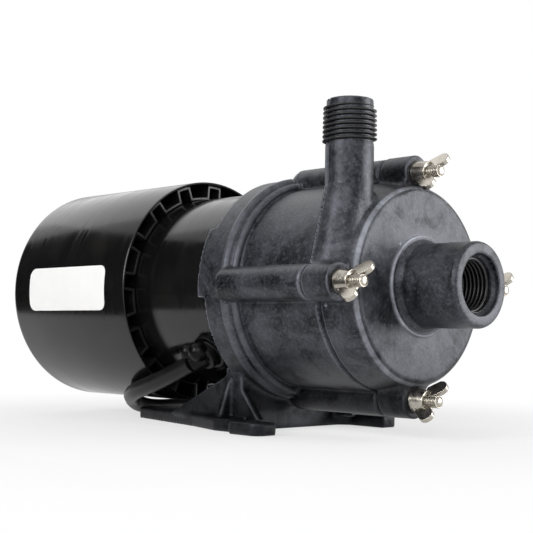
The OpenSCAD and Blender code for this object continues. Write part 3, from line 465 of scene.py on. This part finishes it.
def reshaped(piece, seam_side, seat_x=None):
    """Breaks the edge at the seam, and flattens the seats of the nuts."""
    places, ways = points_of(piece), points_of(piece, "normal")
    gap = (places[:, 0] - SEAM_X) * seam_side / MM
    outside = numpy.hypot(places[:, 1], places[:, 2] - SHAFT_Z) > (PLATE_R + 1.4) * MM
    ways[:, 0] = 0
    lateral = numpy.linalg.norm(ways, axis=1)
    edge = (gap > -0.5) & (gap < GROOVE_WIDTH) & outside & (lateral > LEAST_SIDEWAYS)
    slope = 1 - numpy.clip(gap, 0, None) / GROOVE_WIDTH
    depth = numpy.where(edge, GROOVE_DEPTH * MM * slope / numpy.maximum(lateral, LEAST_SIDEWAYS), 0)
    places -= ways * depth[:, None]
    if seat_x is not None:
        for y, z in studs_at:
            seat = numpy.hypot(places[:, 1] - y * MM, places[:, 2] - z * MM) < SEAT_R * MM
            places[seat & (places[:, 0] > seat_x), 0] = seat_x
    return moved_to(piece, places)

print("studs in mm:", [(round(y, 1), round(z, 1)) for y, z in studs_at])

# %% [markdown]
# Each boss flows into the wall of the casing by a fillet on either side. That is a prism with
# one hollow face here. The bow of that face touches both the wall and the boss, so its middle
# lies one fillet radius away from each: u towards the stud, and v to the side.

# %% Fillets of the bosses
BOSS_R, FILLET = 7.2, 4.0
wall_r, far = PLATE_R + 0.3, STUD_CIRCLE / MM
u = ((wall_r + FILLET) ** 2 - (BOSS_R + FILLET) ** 2 + far ** 2) / (2 * far)
fillets = []
for c, d in QUARTERS:
    for hand in (-1, 1):
        v = hand * math.sqrt((wall_r + FILLET) ** 2 - u ** 2)
        start, end = math.atan2(-v, -u), math.atan2(-v, far - u)
        if end - start > math.pi:
            end -= math.tau
        if start - end > math.pi:
            end += math.tau
        bow = arc((u, v), FILLET, math.degrees(start), math.degrees(end), 10)
        local = bow + [(far - 3, 0), (wall_r - 4, 0), (bow[0][0] * 0.96, bow[0][1] * 0.96)]
        fillets.append((SEAM_X / MM + 0.6, nut_low.x / MM - 0.3,
                        [(a * c - b * d, SHAFT_MM + a * d + b * c) for a, b in local]))
print("fillets:", len(fillets))

# %% [markdown]
# Now both mouldings can be made: copied, trued where they are round, and given their groove.

# %% Casing
SEAM_R, EDGE_ROUND, INLET_R = 42.1, 3.0, 16.5
OUTLET, OUTLET_R, OUTLET_FOOT, OUTLET_THREAD = (45.0, -29.2), 9.4, 96, 18
casing = moulded_copy("volute_housing", "casing_shell", 0.5, 4, 0.5, fillets)
trued(casing, (0, SHAFT_MM), (SEAM_R, PLATE_R), (SEAM_X / MM, FACE_X - EDGE_ROUND), slack=0.3)
trued(casing, (0, SHAFT_MM), (INLET_R, INLET_R), (FACE_X + 2.9, casing_high.x / MM - 1.4))
trued(casing, OUTLET, (OUTLET_R, OUTLET_R), (OUTLET_FOOT, casing_high.z / MM - OUTLET_THREAD), upright=True)
for stud in studs_at:
    trued(casing, stud, (BOSS_R, BOSS_R), (SEAM_X / MM, nut_low.x / MM - 0.4))
smoothed(reshaped(casing, 1, nut_low.x - 0.03 * MM))
settle(casing, "casing_plastic", casing_plastic, "volute_housing")

# %% Bracket
DRUM_R, BAND_R, BARREL_R = 42.5, 47.2, 6.9
DRUM_BACK, BAND_FRONT, BARREL_BACK = -3, -4, -12
bracket = moulded_copy("motor_bracket", "bracket_shell", 0.68, 4)
trued(bracket, (0, SHAFT_MM), (DRUM_R, DRUM_R), (DRUM_BACK, SEAM_X / MM), slack=0.3)
trued(bracket, (0, SHAFT_MM), (BAND_R, BAND_R), (bracket_low.x / MM, BAND_FRONT), slack=0.3)
for stud in studs_at:
    trued(bracket, stud, (BARREL_R, BARREL_R), (BARREL_BACK, SEAM_X / MM))
smoothed(reshaped(bracket, -1))
settle(bracket, "casing_plastic", casing_plastic, "motor_bracket")

# %% [markdown]
# ## Shapes that Geometry Nodes grow
# Beads, threads and slots follow a path or repeat. Each kind is a tree with named inputs, so one
# function starts a tree, one ends it with real geometry and its finish, and one lets a tree grow
# the mesh of a piece. Threads and slots both need copies round a ring.

# %% Helpers for trees
def new_tree(name, inputs):
    """An empty tree, and the identifiers of its named inputs."""
    tree = bpy.data.node_groups.new(name, "GeometryNodeTree")
    sockets = {}
    for label, kind in inputs.items():
        socket = tree.interface.new_socket(label, in_out="INPUT", socket_type="NodeSocket" + kind)
        sockets[label] = socket.identifier
    tree.interface.new_socket("Mesh", in_out="OUTPUT", socket_type="NodeSocketGeometry")
    return tree, sockets


def ended(tree, shape, finish):
    """The end of a tree: copies become real, and the mesh takes its finish."""
    real = add(tree, "GeometryNodeRealizeInstances", {0: shape})
    coated = add(tree, "GeometryNodeSetMaterial", {0: real, "Material": finish})
    add(tree, "NodeGroupOutput", {0: coated})
    print(tree.name, "has", len(tree.nodes), "nodes")


def ring(tree, count, radius, first, second):
    """The place of each copy on a ring that spans two axes, and its bearing."""
    index = add(tree, "GeometryNodeInputIndex")
    step = add(tree, "ShaderNodeMath", {0: math.tau, 1: count}, operation="DIVIDE")
    bearing = add(tree, "ShaderNodeMath", {0: index, 1: step}, operation="MULTIPLY")
    east = add(tree, "ShaderNodeMath", {0: bearing}, operation="COSINE")
    north = add(tree, "ShaderNodeMath", {0: bearing}, operation="SINE")
    spot = add(tree, "ShaderNodeCombineXYZ", {first: east, second: north})
    return add(tree, "ShaderNodeVectorMath", {0: spot, "Scale": radius}, operation="SCALE"), bearing


def grown(piece, tree, sockets, values):
    """What a tree makes of its inputs becomes the plain mesh of a piece."""
    growth = shaped(piece, "NODES", node_group=tree)
    for label, value in values.items():
        growth[sockets[label]] = value
    return baked(piece)

# %% [markdown]
# Two half round beads run round the flange of the bracket and stop short of the upper and lower
# barrels. A bead is an arc with a circle swept along it, and the other half of the bead is the
# same arc turned round.

# %% Bead tree
beads, bead_inputs = new_tree("flange bead", {"Ring radius": "Float", "Bead radius": "Float", "Gap": "Float",
                                              "Place": "Vector", "Finish": "Material"})
given = add(beads, "NodeGroupInput").outputs
first = add(beads, "ShaderNodeMath", {0: given["Gap"], 1: math.pi / 2}, operation="SUBTRACT")
double = add(beads, "ShaderNodeMath", {0: given["Gap"], 1: 2.0}, operation="MULTIPLY")
sweep = add(beads, "ShaderNodeMath", {0: math.pi, 1: double}, operation="SUBTRACT")
bow = add(beads, "GeometryNodeCurveArc", {"Resolution": 120, "Radius": given["Ring radius"],
                                          "Start Angle": first, "Sweep Angle": sweep}, mode="RADIUS")
section = add(beads, "GeometryNodeCurvePrimitiveCircle",
              {"Resolution": 20, "Radius": given["Bead radius"]})
half = add(beads, "GeometryNodeCurveToMesh", {"Curve": bow, "Profile Curve": section, "Fill Caps": True})
other = add(beads, "GeometryNodeTransform", {0: half, "Rotation": (0, 0, math.pi)})
both = add(beads, "GeometryNodeJoinGeometry", {0: half})
feed(beads, both, {0: other})
upright = add(beads, "GeometryNodeTransform", {0: both, "Translation": given["Place"],
                                               "Rotation": (math.pi / 2, 0, math.pi / 2)})
ended(beads, upright, given["Finish"])

# %% Flange beads
BARREL_GAP = 8
for name, ring_r, bead_r, x in [("flange_bead", 45.6, 2.25, -6.75), ("flange_small_bead", 43.85, 1.75, -3.3)]:
    bead = grown(placed(name, bpy.data.meshes.new(name)), beads, bead_inputs,
                 {"Ring radius": ring_r * MM, "Bead radius": bead_r * MM, "Place": (x * MM, 0.0, SHAFT_Z),
                  "Gap": math.asin(BARREL_GAP / ring_r), "Finish": casing_plastic})
    settle(smoothed(bead, 50), "casing_plastic", casing_plastic)

# %% [markdown]
# ## Threads
# The pipe threads of inlet and outlet and the threads of the four studs are the same thing at
# other sizes: a ridge that climbs round an axis. A spiral with a trapezoid swept along it is
# just that, so one tree makes them all. The ridge fades at both ends, as a cut thread runs out.
# The spiral's foot radius may differ from its head, which makes a pipe taper.

# %% Thread tree
thread, thread_inputs = new_tree("thread ridge", {
    "Foot radius": "Float", "Head radius": "Float", "Depth": "Float", "Pitch": "Float", "Turns": "Float",
    "Side": "Float", "Copies": "Int", "Ring radius": "Float", "Place": "Vector", "Heading": "Rotation",
    "Finish": "Material"})
given = add(thread, "NodeGroupInput").outputs
climb = add(thread, "ShaderNodeMath", {0: given["Pitch"], 1: given["Turns"]}, operation="MULTIPLY")
coil = add(thread, "GeometryNodeCurveSpiral",
           {"Resolution": 40, "Rotations": given["Turns"], "Start Radius": given["Foot radius"],
            "End Radius": given["Head radius"], "Height": climb, "Reverse": True})
upright = add(thread, "GeometryNodeSetCurveNormal", {0: coil}, mode="Z_UP")
wide = add(thread, "ShaderNodeMath", {0: given["Pitch"], 1: 0.84}, operation="MULTIPLY")
narrow = add(thread, "ShaderNodeMath", {0: given["Pitch"], 1: 0.22}, operation="MULTIPLY")
section = add(thread, "GeometryNodeCurvePrimitiveQuadrilateral",
              {"Height": given["Depth"], "Bottom Width": wide, "Top Width": narrow, "Offset": 0.0},
              mode="TRAPEZOID")
half = add(thread, "ShaderNodeMath", {0: given["Depth"], 1: 0.5}, operation="MULTIPLY")
raised = add(thread, "ShaderNodeCombineXYZ", {1: half})
lifted = add(thread, "GeometryNodeTransform", {0: section, "Translation": raised})
quarter = add(thread, "ShaderNodeMath", {0: given["Side"], 1: math.pi / 2}, operation="MULTIPLY")
tipped = add(thread, "ShaderNodeCombineXYZ", {2: quarter})
profile = add(thread, "GeometryNodeTransform", {0: lifted, "Rotation": tipped})
along = add(thread, "GeometryNodeSplineParameter").outputs["Factor"]
rest = add(thread, "ShaderNodeMath", {0: 1.0, 1: along}, operation="SUBTRACT")
nearest = add(thread, "ShaderNodeMath", {0: along, 1: rest}, operation="MINIMUM")
fade = add(thread, "ShaderNodeMath", {0: 0.6, 1: given["Turns"]}, operation="DIVIDE")
runout = add(thread, "ShaderNodeMapRange", {0: nearest, 2: fade, 3: 0.03, 4: 1.0})
ridge = add(thread, "GeometryNodeCurveToMesh", {"Curve": upright, "Profile Curve": profile,
                                                "Scale": runout, "Fill Caps": True})
spread, _ = ring(thread, given["Copies"], given["Ring radius"], 0, 1)
spots = add(thread, "GeometryNodePoints", {"Count": given["Copies"], "Position": spread})
copies = add(thread, "GeometryNodeInstanceOnPoints", {"Points": spots, "Instance": ridge})
turned = add(thread, "GeometryNodeTransform", {0: copies, "Translation": given["Place"],
                                               "Rotation": given["Heading"]})
ended(thread, turned, given["Finish"])


def threaded(name, slot, finish, **sizes):
    """A thread of the given sizes, as a plain mesh with its faces turned outwards."""
    values = {label.replace("_", " "): value for label, value in sizes.items()}
    values["Finish"] = finish
    piece = grown(placed(name, bpy.data.meshes.new(name)), thread, thread_inputs, values)
    turn = bmesh.new()
    turn.from_mesh(piece.data)
    bmesh.ops.recalc_face_normals(turn, faces=turn.faces)
    turn.to_mesh(piece.data)
    turn.free()
    settle(piece, slot, finish)

# %% [markdown]
# The outlet carries a tapered pipe thread of half an inch: 14 ridges to the inch. It was cut
# into the same plastic, but the cut skin is smoother, so it looks blacker and glossier. The
# inlet has the same thread on its inside, so there the ridge points to the axis.

# %% Pipe threads
INCH, RIDGES = 25.4, 14
PITCH = INCH / RIDGES * MM
along_x = (0.0, math.pi / 2, 0.0)
thread_plastic = wandering("cut polypropylene", "#111112", "#1b1b1d", 3.0, (0.30, 0.44), 0.02)
threaded("outlet_thread", "casing_plastic", thread_plastic, Foot_radius=9.0 * MM, Head_radius=8.72 * MM,
         Depth=1.6 * MM, Pitch=PITCH, Turns=8.3, Side=-1.0, Copies=1, Ring_radius=0.0,
         Place=(OUTLET[0] * MM, OUTLET[1] * MM, casing_high.z - 17.4 * MM), Heading=(0.0, 0.0, 0.0))
threaded("inlet_thread", "casing_plastic", thread_plastic, Foot_radius=10.66 * MM, Head_radius=10.66 * MM,
         Depth=1.3 * MM, Pitch=PITCH, Turns=8.2, Side=1.0, Copies=1, Ring_radius=0.0,
         Place=(casing_high.x - 17.8 * MM, 0.0, SHAFT_Z), Heading=along_x)

# %% [markdown]
# ## Turned and drawn pieces
# Collar, shell, shroud and studs are round about one line, so each is one outline of points,
# given as place along the shaft and distance from it, spun about that line. A spin by hand keeps
# the seam closed, and enough steps keep a gloss surface free of flats.

# %% Lathe
def lathe(name, outline, steps=160, middle=(0.0, SHAFT_Z)):
    """A closed outline of (x, radius) in mm, spun about a line along X."""
    build = bmesh.new()
    rings = []
    for step in range(steps):
        angle = math.tau * step / steps
        rings.append([build.verts.new((x * MM, middle[0] + radius * MM * math.cos(angle),
                                       middle[1] + radius * MM * math.sin(angle))) for x, radius in outline])
    for step in range(steps):
        here, there = rings[step], rings[(step + 1) % steps]
        for corner in range(len(outline)):
            after = (corner + 1) % len(outline)
            if outline[corner][1] or outline[after][1]:
                build.faces.new((here[corner], here[after], there[after], there[corner]))
    bmesh.ops.remove_doubles(build, verts=build.verts, dist=1e-7)
    bmesh.ops.dissolve_degenerate(build, edges=build.edges, dist=1e-8)
    return smoothed(new_piece(name, build), 32)

# %% [markdown]
# A raised collar with a crisp lip runs round the foot of the inlet boss. Its outline counts from
# the face of the plate, and its foot lies inside the boss.

# %% Inlet collar
LIP_ROUND, COLLAR_FOOT = 0.55, 16.2
profile = [(-0.6, COLLAR_R), (0.45, COLLAR_R)]
profile += arc((0.45, COLLAR_R - LIP_ROUND), LIP_ROUND, 90, 20, 5)
profile += [(1.1, 18.7), (1.2, 18.0), (1.45, 17.4), (1.95, 16.92), (2.6, 16.64), (3.3, 16.5), (3.9, 16.4)]
profile += [(3.9, COLLAR_FOOT), (-0.6, COLLAR_FOOT)]
collar = lathe("inlet_collar", [(FACE_X + x, radius) for x, radius in profile])
settle(collar, "casing_plastic", casing_plastic)

# %% [markdown]
# Shell and shroud are sheet steel under stoved black enamel. The enamel flows before it sets, so
# it is glossy with a faint orange peel of a few millimetres. Drawing the cup leaves fine rings
# round it, which show where a lamp is mirrored, so that noise is stretched round the shaft.

# %% Black enamel
DRAWN_RING, PEEL, DUST = 2.4, 3.5, 18.0
enamel, tree, shader = new_finish("stoved black enamel", {"IOR": 1.52})
place = add(tree, "ShaderNodeTexCoord").outputs["Object"]
rings = add(tree, "ShaderNodeMapping", {"Vector": place, "Scale": (1.0, 0.05, 0.05)})
noises = [(rings, DRAWN_RING, 4.0, 0.6), (place, PEEL, 1.0, 0.5), (place, DUST, 5.0, 0.5)]
drawn, peel, dust = [
    add(tree, "ShaderNodeTexNoise", {"Vector": where, "Scale": 1 / (size * MM), "Detail": detail,
                                     "Roughness": rough})
    for where, size, detail, rough in noises]
dusty = add(tree, "ShaderNodeMapRange", {0: dust, 1: 0.42, 2: 0.75})
colour = add(tree, "ShaderNodeMix", {0: dusty, 6: linear("#0d0d0e"), 7: linear("#1a1918")},
             data_type="RGBA")
gloss = add(tree, "ShaderNodeMapRange", {0: drawn, 1: 0.32, 2: 0.68, 3: 0.10, 4: 0.27})
ripple = add(tree, "ShaderNodeBump", {"Height": drawn, "Distance": 0.07 * MM, "Strength": 0.6})
relief = add(tree, "ShaderNodeBump", {"Height": peel, "Distance": 0.010 * MM, "Strength": 0.5,
                                      "Normal": ripple})
feed(tree, shader, {"Base Color": colour.outputs[2], "Roughness": gloss, "Normal": relief})
print("finish:", enamel.name)

# %% Motor shell
HALF_WALL = 0.6
front, rear = can_high.x / MM - HALF_WALL, can_low.x / MM + HALF_WALL
wall_middle = (can_high.z - can_low.z) / 2 / MM - HALF_WALL
shell = lathe("can_shell", arc((front, wall_middle), HALF_WALL, -90, 90)
              + arc((rear, wall_middle), HALF_WALL, 90, 270))
settle(shell, "enamel", enamel, "motor_can")

# %% [markdown]
# The shroud is a drawn cup, open at the front, with a ring of slots in its rear wall where the
# fan draws its air. A tree places one cutter for each slot and takes them all away from the cup
# at once.

# %% Slot tree
slots, slot_inputs = new_tree("ring of slots", {"Mesh": "Geometry", "Count": "Int", "Middle radius": "Float",
                                                "Cutter": "Vector", "Place": "Vector", "Finish": "Material"})
given = add(slots, "NodeGroupInput").outputs
cutter = add(slots, "GeometryNodeMeshCube", {"Size": given["Cutter"]})
spread, bearing = ring(slots, given["Count"], given["Middle radius"], 1, 2)
moved = add(slots, "ShaderNodeVectorMath", {0: spread, 1: given["Place"]}, operation="ADD")
spots = add(slots, "GeometryNodePoints", {"Count": given["Count"], "Position": moved})
heading = add(slots, "ShaderNodeCombineXYZ", {0: bearing})
copies = add(slots, "GeometryNodeInstanceOnPoints", {"Points": spots, "Instance": cutter,
                                                     "Rotation": heading})
real = add(slots, "GeometryNodeRealizeInstances", {0: copies})
cut = add(slots, "GeometryNodeMeshBoolean", {0: given["Mesh"], 1: real}, operation="DIFFERENCE")
ended(slots, cut, given["Finish"])

# %% Shroud
cup_low, cup_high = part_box("fan_shroud")
mouth, bottom, cup_radius = cup_high.x / MM, cup_low.x / MM, (cup_high.z - cup_low.z) / 2 / MM
SHEET, CUP_CORNER = 1, 5
lip = SHEET / 2
corner = (bottom + CUP_CORNER, cup_radius - CUP_CORNER)
cup = lathe("shroud_cup", arc((mouth - lip, cup_radius - lip), lip, -90, 90, 6)
            + arc(corner, CUP_CORNER, 90, 180) + [(bottom, 0), (bottom + SHEET, 0)]
            + arc(corner, CUP_CORNER - SHEET, 180, 90))
grown(cup, slots, slot_inputs, {"Count": 20, "Middle radius": 25 * MM, "Cutter": (6 * MM, 22 * MM, 3 * MM),
                                "Place": (bottom * MM, 0.0, SHAFT_Z), "Finish": enamel})
cup.data.set_sharp_from_angle(angle=math.radians(32))
settle(cup, "enamel", enamel, "fan_shroud")

# %% [markdown]
# Between shell and shroud sits a moulded ring with castle teeth, which centres the cup and lets
# the air out between them. Its corners are only lightly broken, so a small bevel does, and that
# bevel is what catches the light.

# %% Spacer ring
spacer_plastic = wandering("moulded nylon spacer", "#0c0c0d", "#161617", 3.0, (0.36, 0.5), 0.02)
weld = welded("shroud_spacer")
bmesh.ops.dissolve_limit(weld, angle_limit=math.radians(1), verts=weld.verts, edges=weld.edges)
castle = poured("spacer_ring", weld)
shaped(castle, "BEVEL", width=0.15 * MM, segments=2, limit_method="ANGLE", angle_limit=math.radians(40))
smoothed(baked(castle), 35)
settle(castle, "spacer_plastic", spacer_plastic, "shroud_spacer")

# %% [markdown]
# A plain white vinyl label with rounded corners is stuck to the near side of the shroud. It is
# cut from a flat outline, sliced every millimetre so that it can bend, and wrapped round the cup.

# %% Bare label
label_vinyl = wandering("white vinyl film", "#ededeb", "#f0f0ee", 6.0, (0.40, 0.46), 0.002)
LABEL_X, LABEL_LENGTH, LABEL_HEIGHT, LABEL_CORNER = -111.3, 60.6, 20.4, 4.0
FILM, GLUE = 0.12, 0.02
inset_x, inset_y = LABEL_LENGTH / 2 - LABEL_CORNER, LABEL_HEIGHT / 2 - LABEL_CORNER
outline = []
for x, y, start in [(1, 1, 0), (-1, 1, 90), (-1, -1, 180), (1, -1, 270)]:
    outline += arc((x * inset_x, y * inset_y), LABEL_CORNER, start, start + 90, 10)
sheet = bmesh.new()
face = sheet.faces.new([sheet.verts.new((x * MM, y * MM, 0)) for x, y in outline])
raised = bmesh.ops.extrude_face_region(sheet, geom=[face])["geom"]
bmesh.ops.translate(sheet, vec=(0, 0, FILM * MM),
                    verts=[part for part in raised if isinstance(part, bmesh.types.BMVert)])
half_height = math.ceil(LABEL_HEIGHT / 2)
for cut_at in range(-half_height, half_height + 1):
    bmesh.ops.bisect_plane(sheet, geom=sheet.verts[:] + sheet.edges[:] + sheet.faces[:],
                           plane_co=(0, cut_at * MM, 0), plane_no=(0, 1, 0))
for vert in sheet.verts:
    x, y, z = vert.co
    radius = cup_radius * MM + GLUE * MM + z
    angle = y / (cup_radius * MM)
    vert.co = (LABEL_X * MM + x, -radius * math.cos(angle), SHAFT_Z + radius * math.sin(angle))
film = new_piece("bare_label", sheet)
settle(film, "enamel", label_vinyl)

# %% [markdown]
# ## Studs and wing nuts
# Four studs stand in the bracket and hold the casing by wing nuts. Both are nickel plated steel:
# a bright, slightly warm mirror that is duller in patches. The stud is a rod with a broken end,
# and the thread tree gives all four their threads at once.

# %% Studs
plated = wandering("nickel plated steel", "#a09a90", "#bcb7ad", 2.5, (0.20, 0.30),
                   values={"Metallic": 1.0})
stud_low, stud_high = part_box("casing_studs")
ROD_R, THREAD_X = 2.12, 60.7
back_end, tip = stud_low.x / MM, stud_high.x / MM
outline = [(back_end, 0), (back_end, ROD_R), (tip - 0.7, ROD_R), (tip - 0.1, 1.5), (tip, 1.2), (tip, 0)]
rods = bmesh.new()
for y, z in studs_at:
    rod = lathe("rod", outline, 40, (y * MM, z * MM))
    rods.from_mesh(rod.data)
    bpy.data.objects.remove(rod)
studs = smoothed(new_piece("stud_rods", rods), 32)
settle(studs, "plated_steel", plated, "casing_studs")
threaded("stud_threads", "plated_steel", plated, Foot_radius=2.08 * MM, Head_radius=2.08 * MM,
         Depth=0.32 * MM, Pitch=0.8 * MM, Turns=7.6, Side=-1.0, Copies=4, Ring_radius=STUD_CIRCLE,
         Place=(THREAD_X * MM, 0.0, SHAFT_Z), Heading=along_x)

# %% Wing nuts
for place in ("top", "near", "bottom", "far"):
    name = "wing_nut_" + place
    nut = thinned(moulded_copy(name, name + "_forging", 0.13, 6), 0.4)
    settle(nut, "plated_steel", plated, name, body="nut_" + place)

# %% [markdown]
# ## Bushing of the lead
# Where the lead leaves the shell, a black nylon bushing grips it and turns it back along the
# motor. Its two clamp jaws stand out as round lobes. Lobes that melt into a body are quickest
# made by putting balls where they belong and remeshing the lot into one skin. The body is three
# cones: a flange on the shell, a neck, and a nose that ends where the lead begins.

# %% Bushing
grip_low, grip_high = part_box("strain_relief")
lean = math.radians(38)
root = Vector(((grip_low.x + grip_high.x) / 2, 0, SHAFT_Z))
outward = Vector((0, -math.cos(lean), -math.sin(lean)))
nose = route[0] + (route[0] - route[1]).normalized() * 0.3 * MM
cones = [(root + outward * 40.2 * MM, root + outward * 45.5 * MM, 8.1, 8.1),
         (root + outward * 44 * MM, root + outward * 49.5 * MM, 6.4, 5.6),
         (root + outward * 47 * MM, nose, 4.6, 3.95)]
lobes = [((-34.0, -41.2, 32.2), 3.7), ((-27.0, -41.9, 32.4), 4.2)]
grip = bmesh.new()
for start, end, first, last in cones:
    way = end - start
    turn = way.to_track_quat("Z", "Y").to_matrix().to_4x4()
    bmesh.ops.create_cone(grip, cap_ends=True, segments=48, radius1=first * MM, radius2=last * MM,
                          depth=way.length, matrix=Matrix.Translation((start + end) / 2) @ turn)
for spot, size in lobes:
    bmesh.ops.create_uvsphere(grip, u_segments=32, v_segments=20, radius=size * MM,
                              matrix=Matrix.Translation(Vector(spot) * MM))
bushing = new_piece("lead_bushing", grip)
shaped(bushing, "REMESH", mode="VOXEL", voxel_size=0.3 * MM)
shaped(bushing, "SMOOTH", iterations=4)
thinned(bushing, 0.5)
bushing_plastic = wandering("moulded nylon bushing", "#040405", "#08080a", 2.0, (0.26, 0.36), 0.01,
                            values={"Specular IOR Level": 0.15})
settle(bushing, "bushing_plastic", bushing_plastic, "strain_relief")

# %% [markdown]
# ## Hidden pieces
# Behind casing and shell the solids are right as they are, and only take their finishes: ground
# ceramic, moulded barrier, sintered magnets, turned steel, stacked laminations, varnished wire
# and cast alloy. They show through the slots, through the gap of the shroud and down the bores.

# %% Finishes inside
inside = [
    ("turned steel", "#8d8f92", "#b4b6b9", 0.5, (0.2, 0.38), 0.01, True, 1.0,
     "drive_cup motor_shaft front_bearing rear_bearing bracket_screws"),
    ("natural polypropylene", "#bdb9ad", "#cfccc2", 6.0, (0.38, 0.52), 0.02, False, 0.0,
     "separator_can impeller"),
    ("ground alumina ceramic", "#e2ddd0", "#efebe1", 1.5, (0.18, 0.3), 0.004, False, 0.0,
     "spindle rear_thrust_washer front_thrust_washer"),
    ("sintered ferrite", "#2c2b2c", "#434144", 1.0, (0.45, 0.65), 0.03, False, 0.0,
     "driven_magnet drive_magnets"),
    ("moulded carbon", "#1d1d1f", "#2e2e31", 1.2, (0.35, 0.5), 0.02, False, 0.0, "impeller_bushing"),
    ("black oxide steel", "#161617", "#28282a", 1.2, (0.3, 0.45), 0.01, False, 0.7,
     "hub_set_screw shroud_screws"),
    ("moulded nitrile rubber", "#141415", "#1f1f20", 2.0, (0.5, 0.66), 0.02, False, 0.0, "casing_o_ring"),
    ("varnished copper wire", "#7a3d1a", "#b4682f", 0.9, (0.22, 0.4), 0.12, False, 0.6, "stator_windings"),
    ("cast aluminium alloy", "#8a8b8c", "#a8a9a9", 1.3, (0.42, 0.62), 0.06, False, 0.9,
     "front_end_bell rear_end_bell"),
    ("stacked silicon steel", "#55565a", "#8b8c90", 0.5, (0.3, 0.5), 0.05, True, 0.9,
     "rotor_core stator_core"),
    ("moulded fan nylon", "#1b1b1d", "#2a2a2d", 3.0, (0.4, 0.55), 0.02, False, 0.0, "cooling_fan")]
for *recipe, metal, names in inside:
    finish = wandering(*recipe, {"Metallic": metal})
    for name in names.split():
        dressed(nodes[name], finish)
    print(finish.name, "on", names)

# %% [markdown]
# ## Light and ground
# A plain white sweep: the world is white to the camera, a little less so in reflections, and
# lights the pump much more softly than that.

# %% Studio
AS_LIGHT, AS_MIRRORED = 0.20, 0.78
world = bpy.data.worlds.new("studio")
scene.world = world
world.use_nodes = True
tree = world.node_tree
tree.nodes.clear()
rays = add(tree, "ShaderNodeLightPath").outputs
seen = add(tree, "ShaderNodeMath", {0: rays["Is Camera Ray"], 1: rays["Is Transmission Ray"]},
           operation="MAXIMUM")
mirrored = add(tree, "ShaderNodeMapRange", {0: rays["Is Glossy Ray"], 3: AS_LIGHT, 4: AS_MIRRORED})
level = add(tree, "ShaderNodeMath", {0: seen, 1: mirrored}, operation="MAXIMUM")
sky = add(tree, "ShaderNodeBackground", {"Color": (1, 1, 1, 1), "Strength": level})
add(tree, "ShaderNodeOutputWorld", {"Surface": sky})
print("world as light:", AS_LIGHT, " in reflections:", AS_MIRRORED)

# %% [markdown]
# The ground is white paper. Far from the pump it is as white to the camera as the world behind
# it, so no horizon shows, and close to the pump it is plain lit paper that takes the shadow.

# %% Ground
ground = bmesh.new()
bmesh.ops.create_grid(ground, x_segments=8, y_segments=8, size=3.0)
floor = new_piece("floor", ground)
floor.location.z = -0.2 * MM
paper, tree, shader = new_finish("white paper", {"Base Color": linear("#f6f6f6"), "Roughness": 0.9})
place = add(tree, "ShaderNodeTexCoord").outputs["Object"]
centred = add(tree, "ShaderNodeMapping", {"Vector": place, "Location": (0.03, 0, 0)})
away = add(tree, "ShaderNodeVectorMath", {0: centred}, operation="LENGTH").outputs["Value"]
open_paper = add(tree, "ShaderNodeMapRange", {0: away, 1: 0.08, 2: 0.30, 3: 0.62, 4: 1.0}, **soft)
rays = add(tree, "ShaderNodeLightPath").outputs
seen = rays["Is Camera Ray"]
for kind in ("Is Glossy Ray", "Is Transmission Ray"):
    seen = add(tree, "ShaderNodeMath", {0: seen, 1: rays[kind]}, operation="MAXIMUM")
share = add(tree, "ShaderNodeMath", {0: seen, 1: open_paper}, operation="MULTIPLY")
white = add(tree, "ShaderNodeEmission", {"Color": (1, 1, 1, 1), "Strength": 1.0})
both = add(tree, "ShaderNodeMixShader", {0: share, 1: shader, 2: white})
feed(tree, tree.nodes["Material Output"], {"Surface": both})
dressed(floor, paper)
print("floor in mm:", round(floor.location.z / MM, 1))

# %% [markdown]
# Gloss black needs something dark to mirror. One sheet of felt lies on the ground before the
# pump and another stands at its left. The camera doesn't see them, and they shade nothing.

# %% Dark card
LIFT, CARD_HEIGHT = 0.6 * MM, 0.74
half_card = Vector((0.64, -0.77, 0)) * 0.7
card_foot = Vector((-0.71, -0.55, 0))
rise = Vector((0, 0, CARD_HEIGHT))
lying = [(-2.5, -0.155, LIFT), (0.1, -0.155, LIFT), (0.1, -2.0, LIFT), (-2.5, -2.0, LIFT)]
standing = [card_foot - half_card, card_foot + half_card, card_foot + half_card + rise,
            card_foot - half_card + rise]
board = bmesh.new()
for corners in (lying, standing):
    board.faces.new([board.verts.new(corner) for corner in corners])
card = new_piece("dark_card", board)
card.visible_camera = card.visible_diffuse = card.visible_shadow = False
felt = new_finish("black felt", {"Base Color": linear("#101010"), "Roughness": 1.0})[0]
dressed(card, felt)

# %% [markdown]
# Five soft lamps: two for the long highlights on shroud and casing, from behind at the left and
# from the left of the camera, two for the front and the right of the casing, and a weak one
# overhead. The lamp at the right is for the plastic. It leaves out the enamel, whose top
# would mirror it as plain white when seen from behind.

# %% Lamps
lamps = [("rear_left_light", (-0.74, 0.13, 0.70), (-0.10, 0, 0.08), 0.75, 1.5),
         ("fill_light", (-0.05, -1.0, 0.45), (-0.03, 0, 0.06), 0.5, 6.8),
         ("front_light", (0.62, -0.62, 0.42), (0, 0, 0.06), 0.45, 2.4),
         ("right_light", (0.487, 0.418, 0.17), (0.058, 0, 0.06), 0.45, 3.9),
         ("top_light", (0.15, -0.1, 0.9), (0, 0, 0.06), 0.4, 0.45)]
for name, spot, aim, size, power in lamps:
    lamp = bpy.data.lights.new(name, "AREA")
    lamp.energy = power
    lamp.size = size
    light = placed(name, lamp)
    light.location = spot
    light.rotation_euler = (Vector(aim) - Vector(spot)).to_track_quat("-Z", "Y").to_euler()
    print(name, "at", spot, "with", power, "W")
unlit = bpy.data.collections.new("enamel that the right light leaves out")
for piece in (shell, cup):
    unlit.objects.link(piece)
for entry in unlit.collection_objects:
    entry.light_linking.link_state = "EXCLUDE"
bpy.data.objects["right_light"].light_linking.receiver_collection = unlit
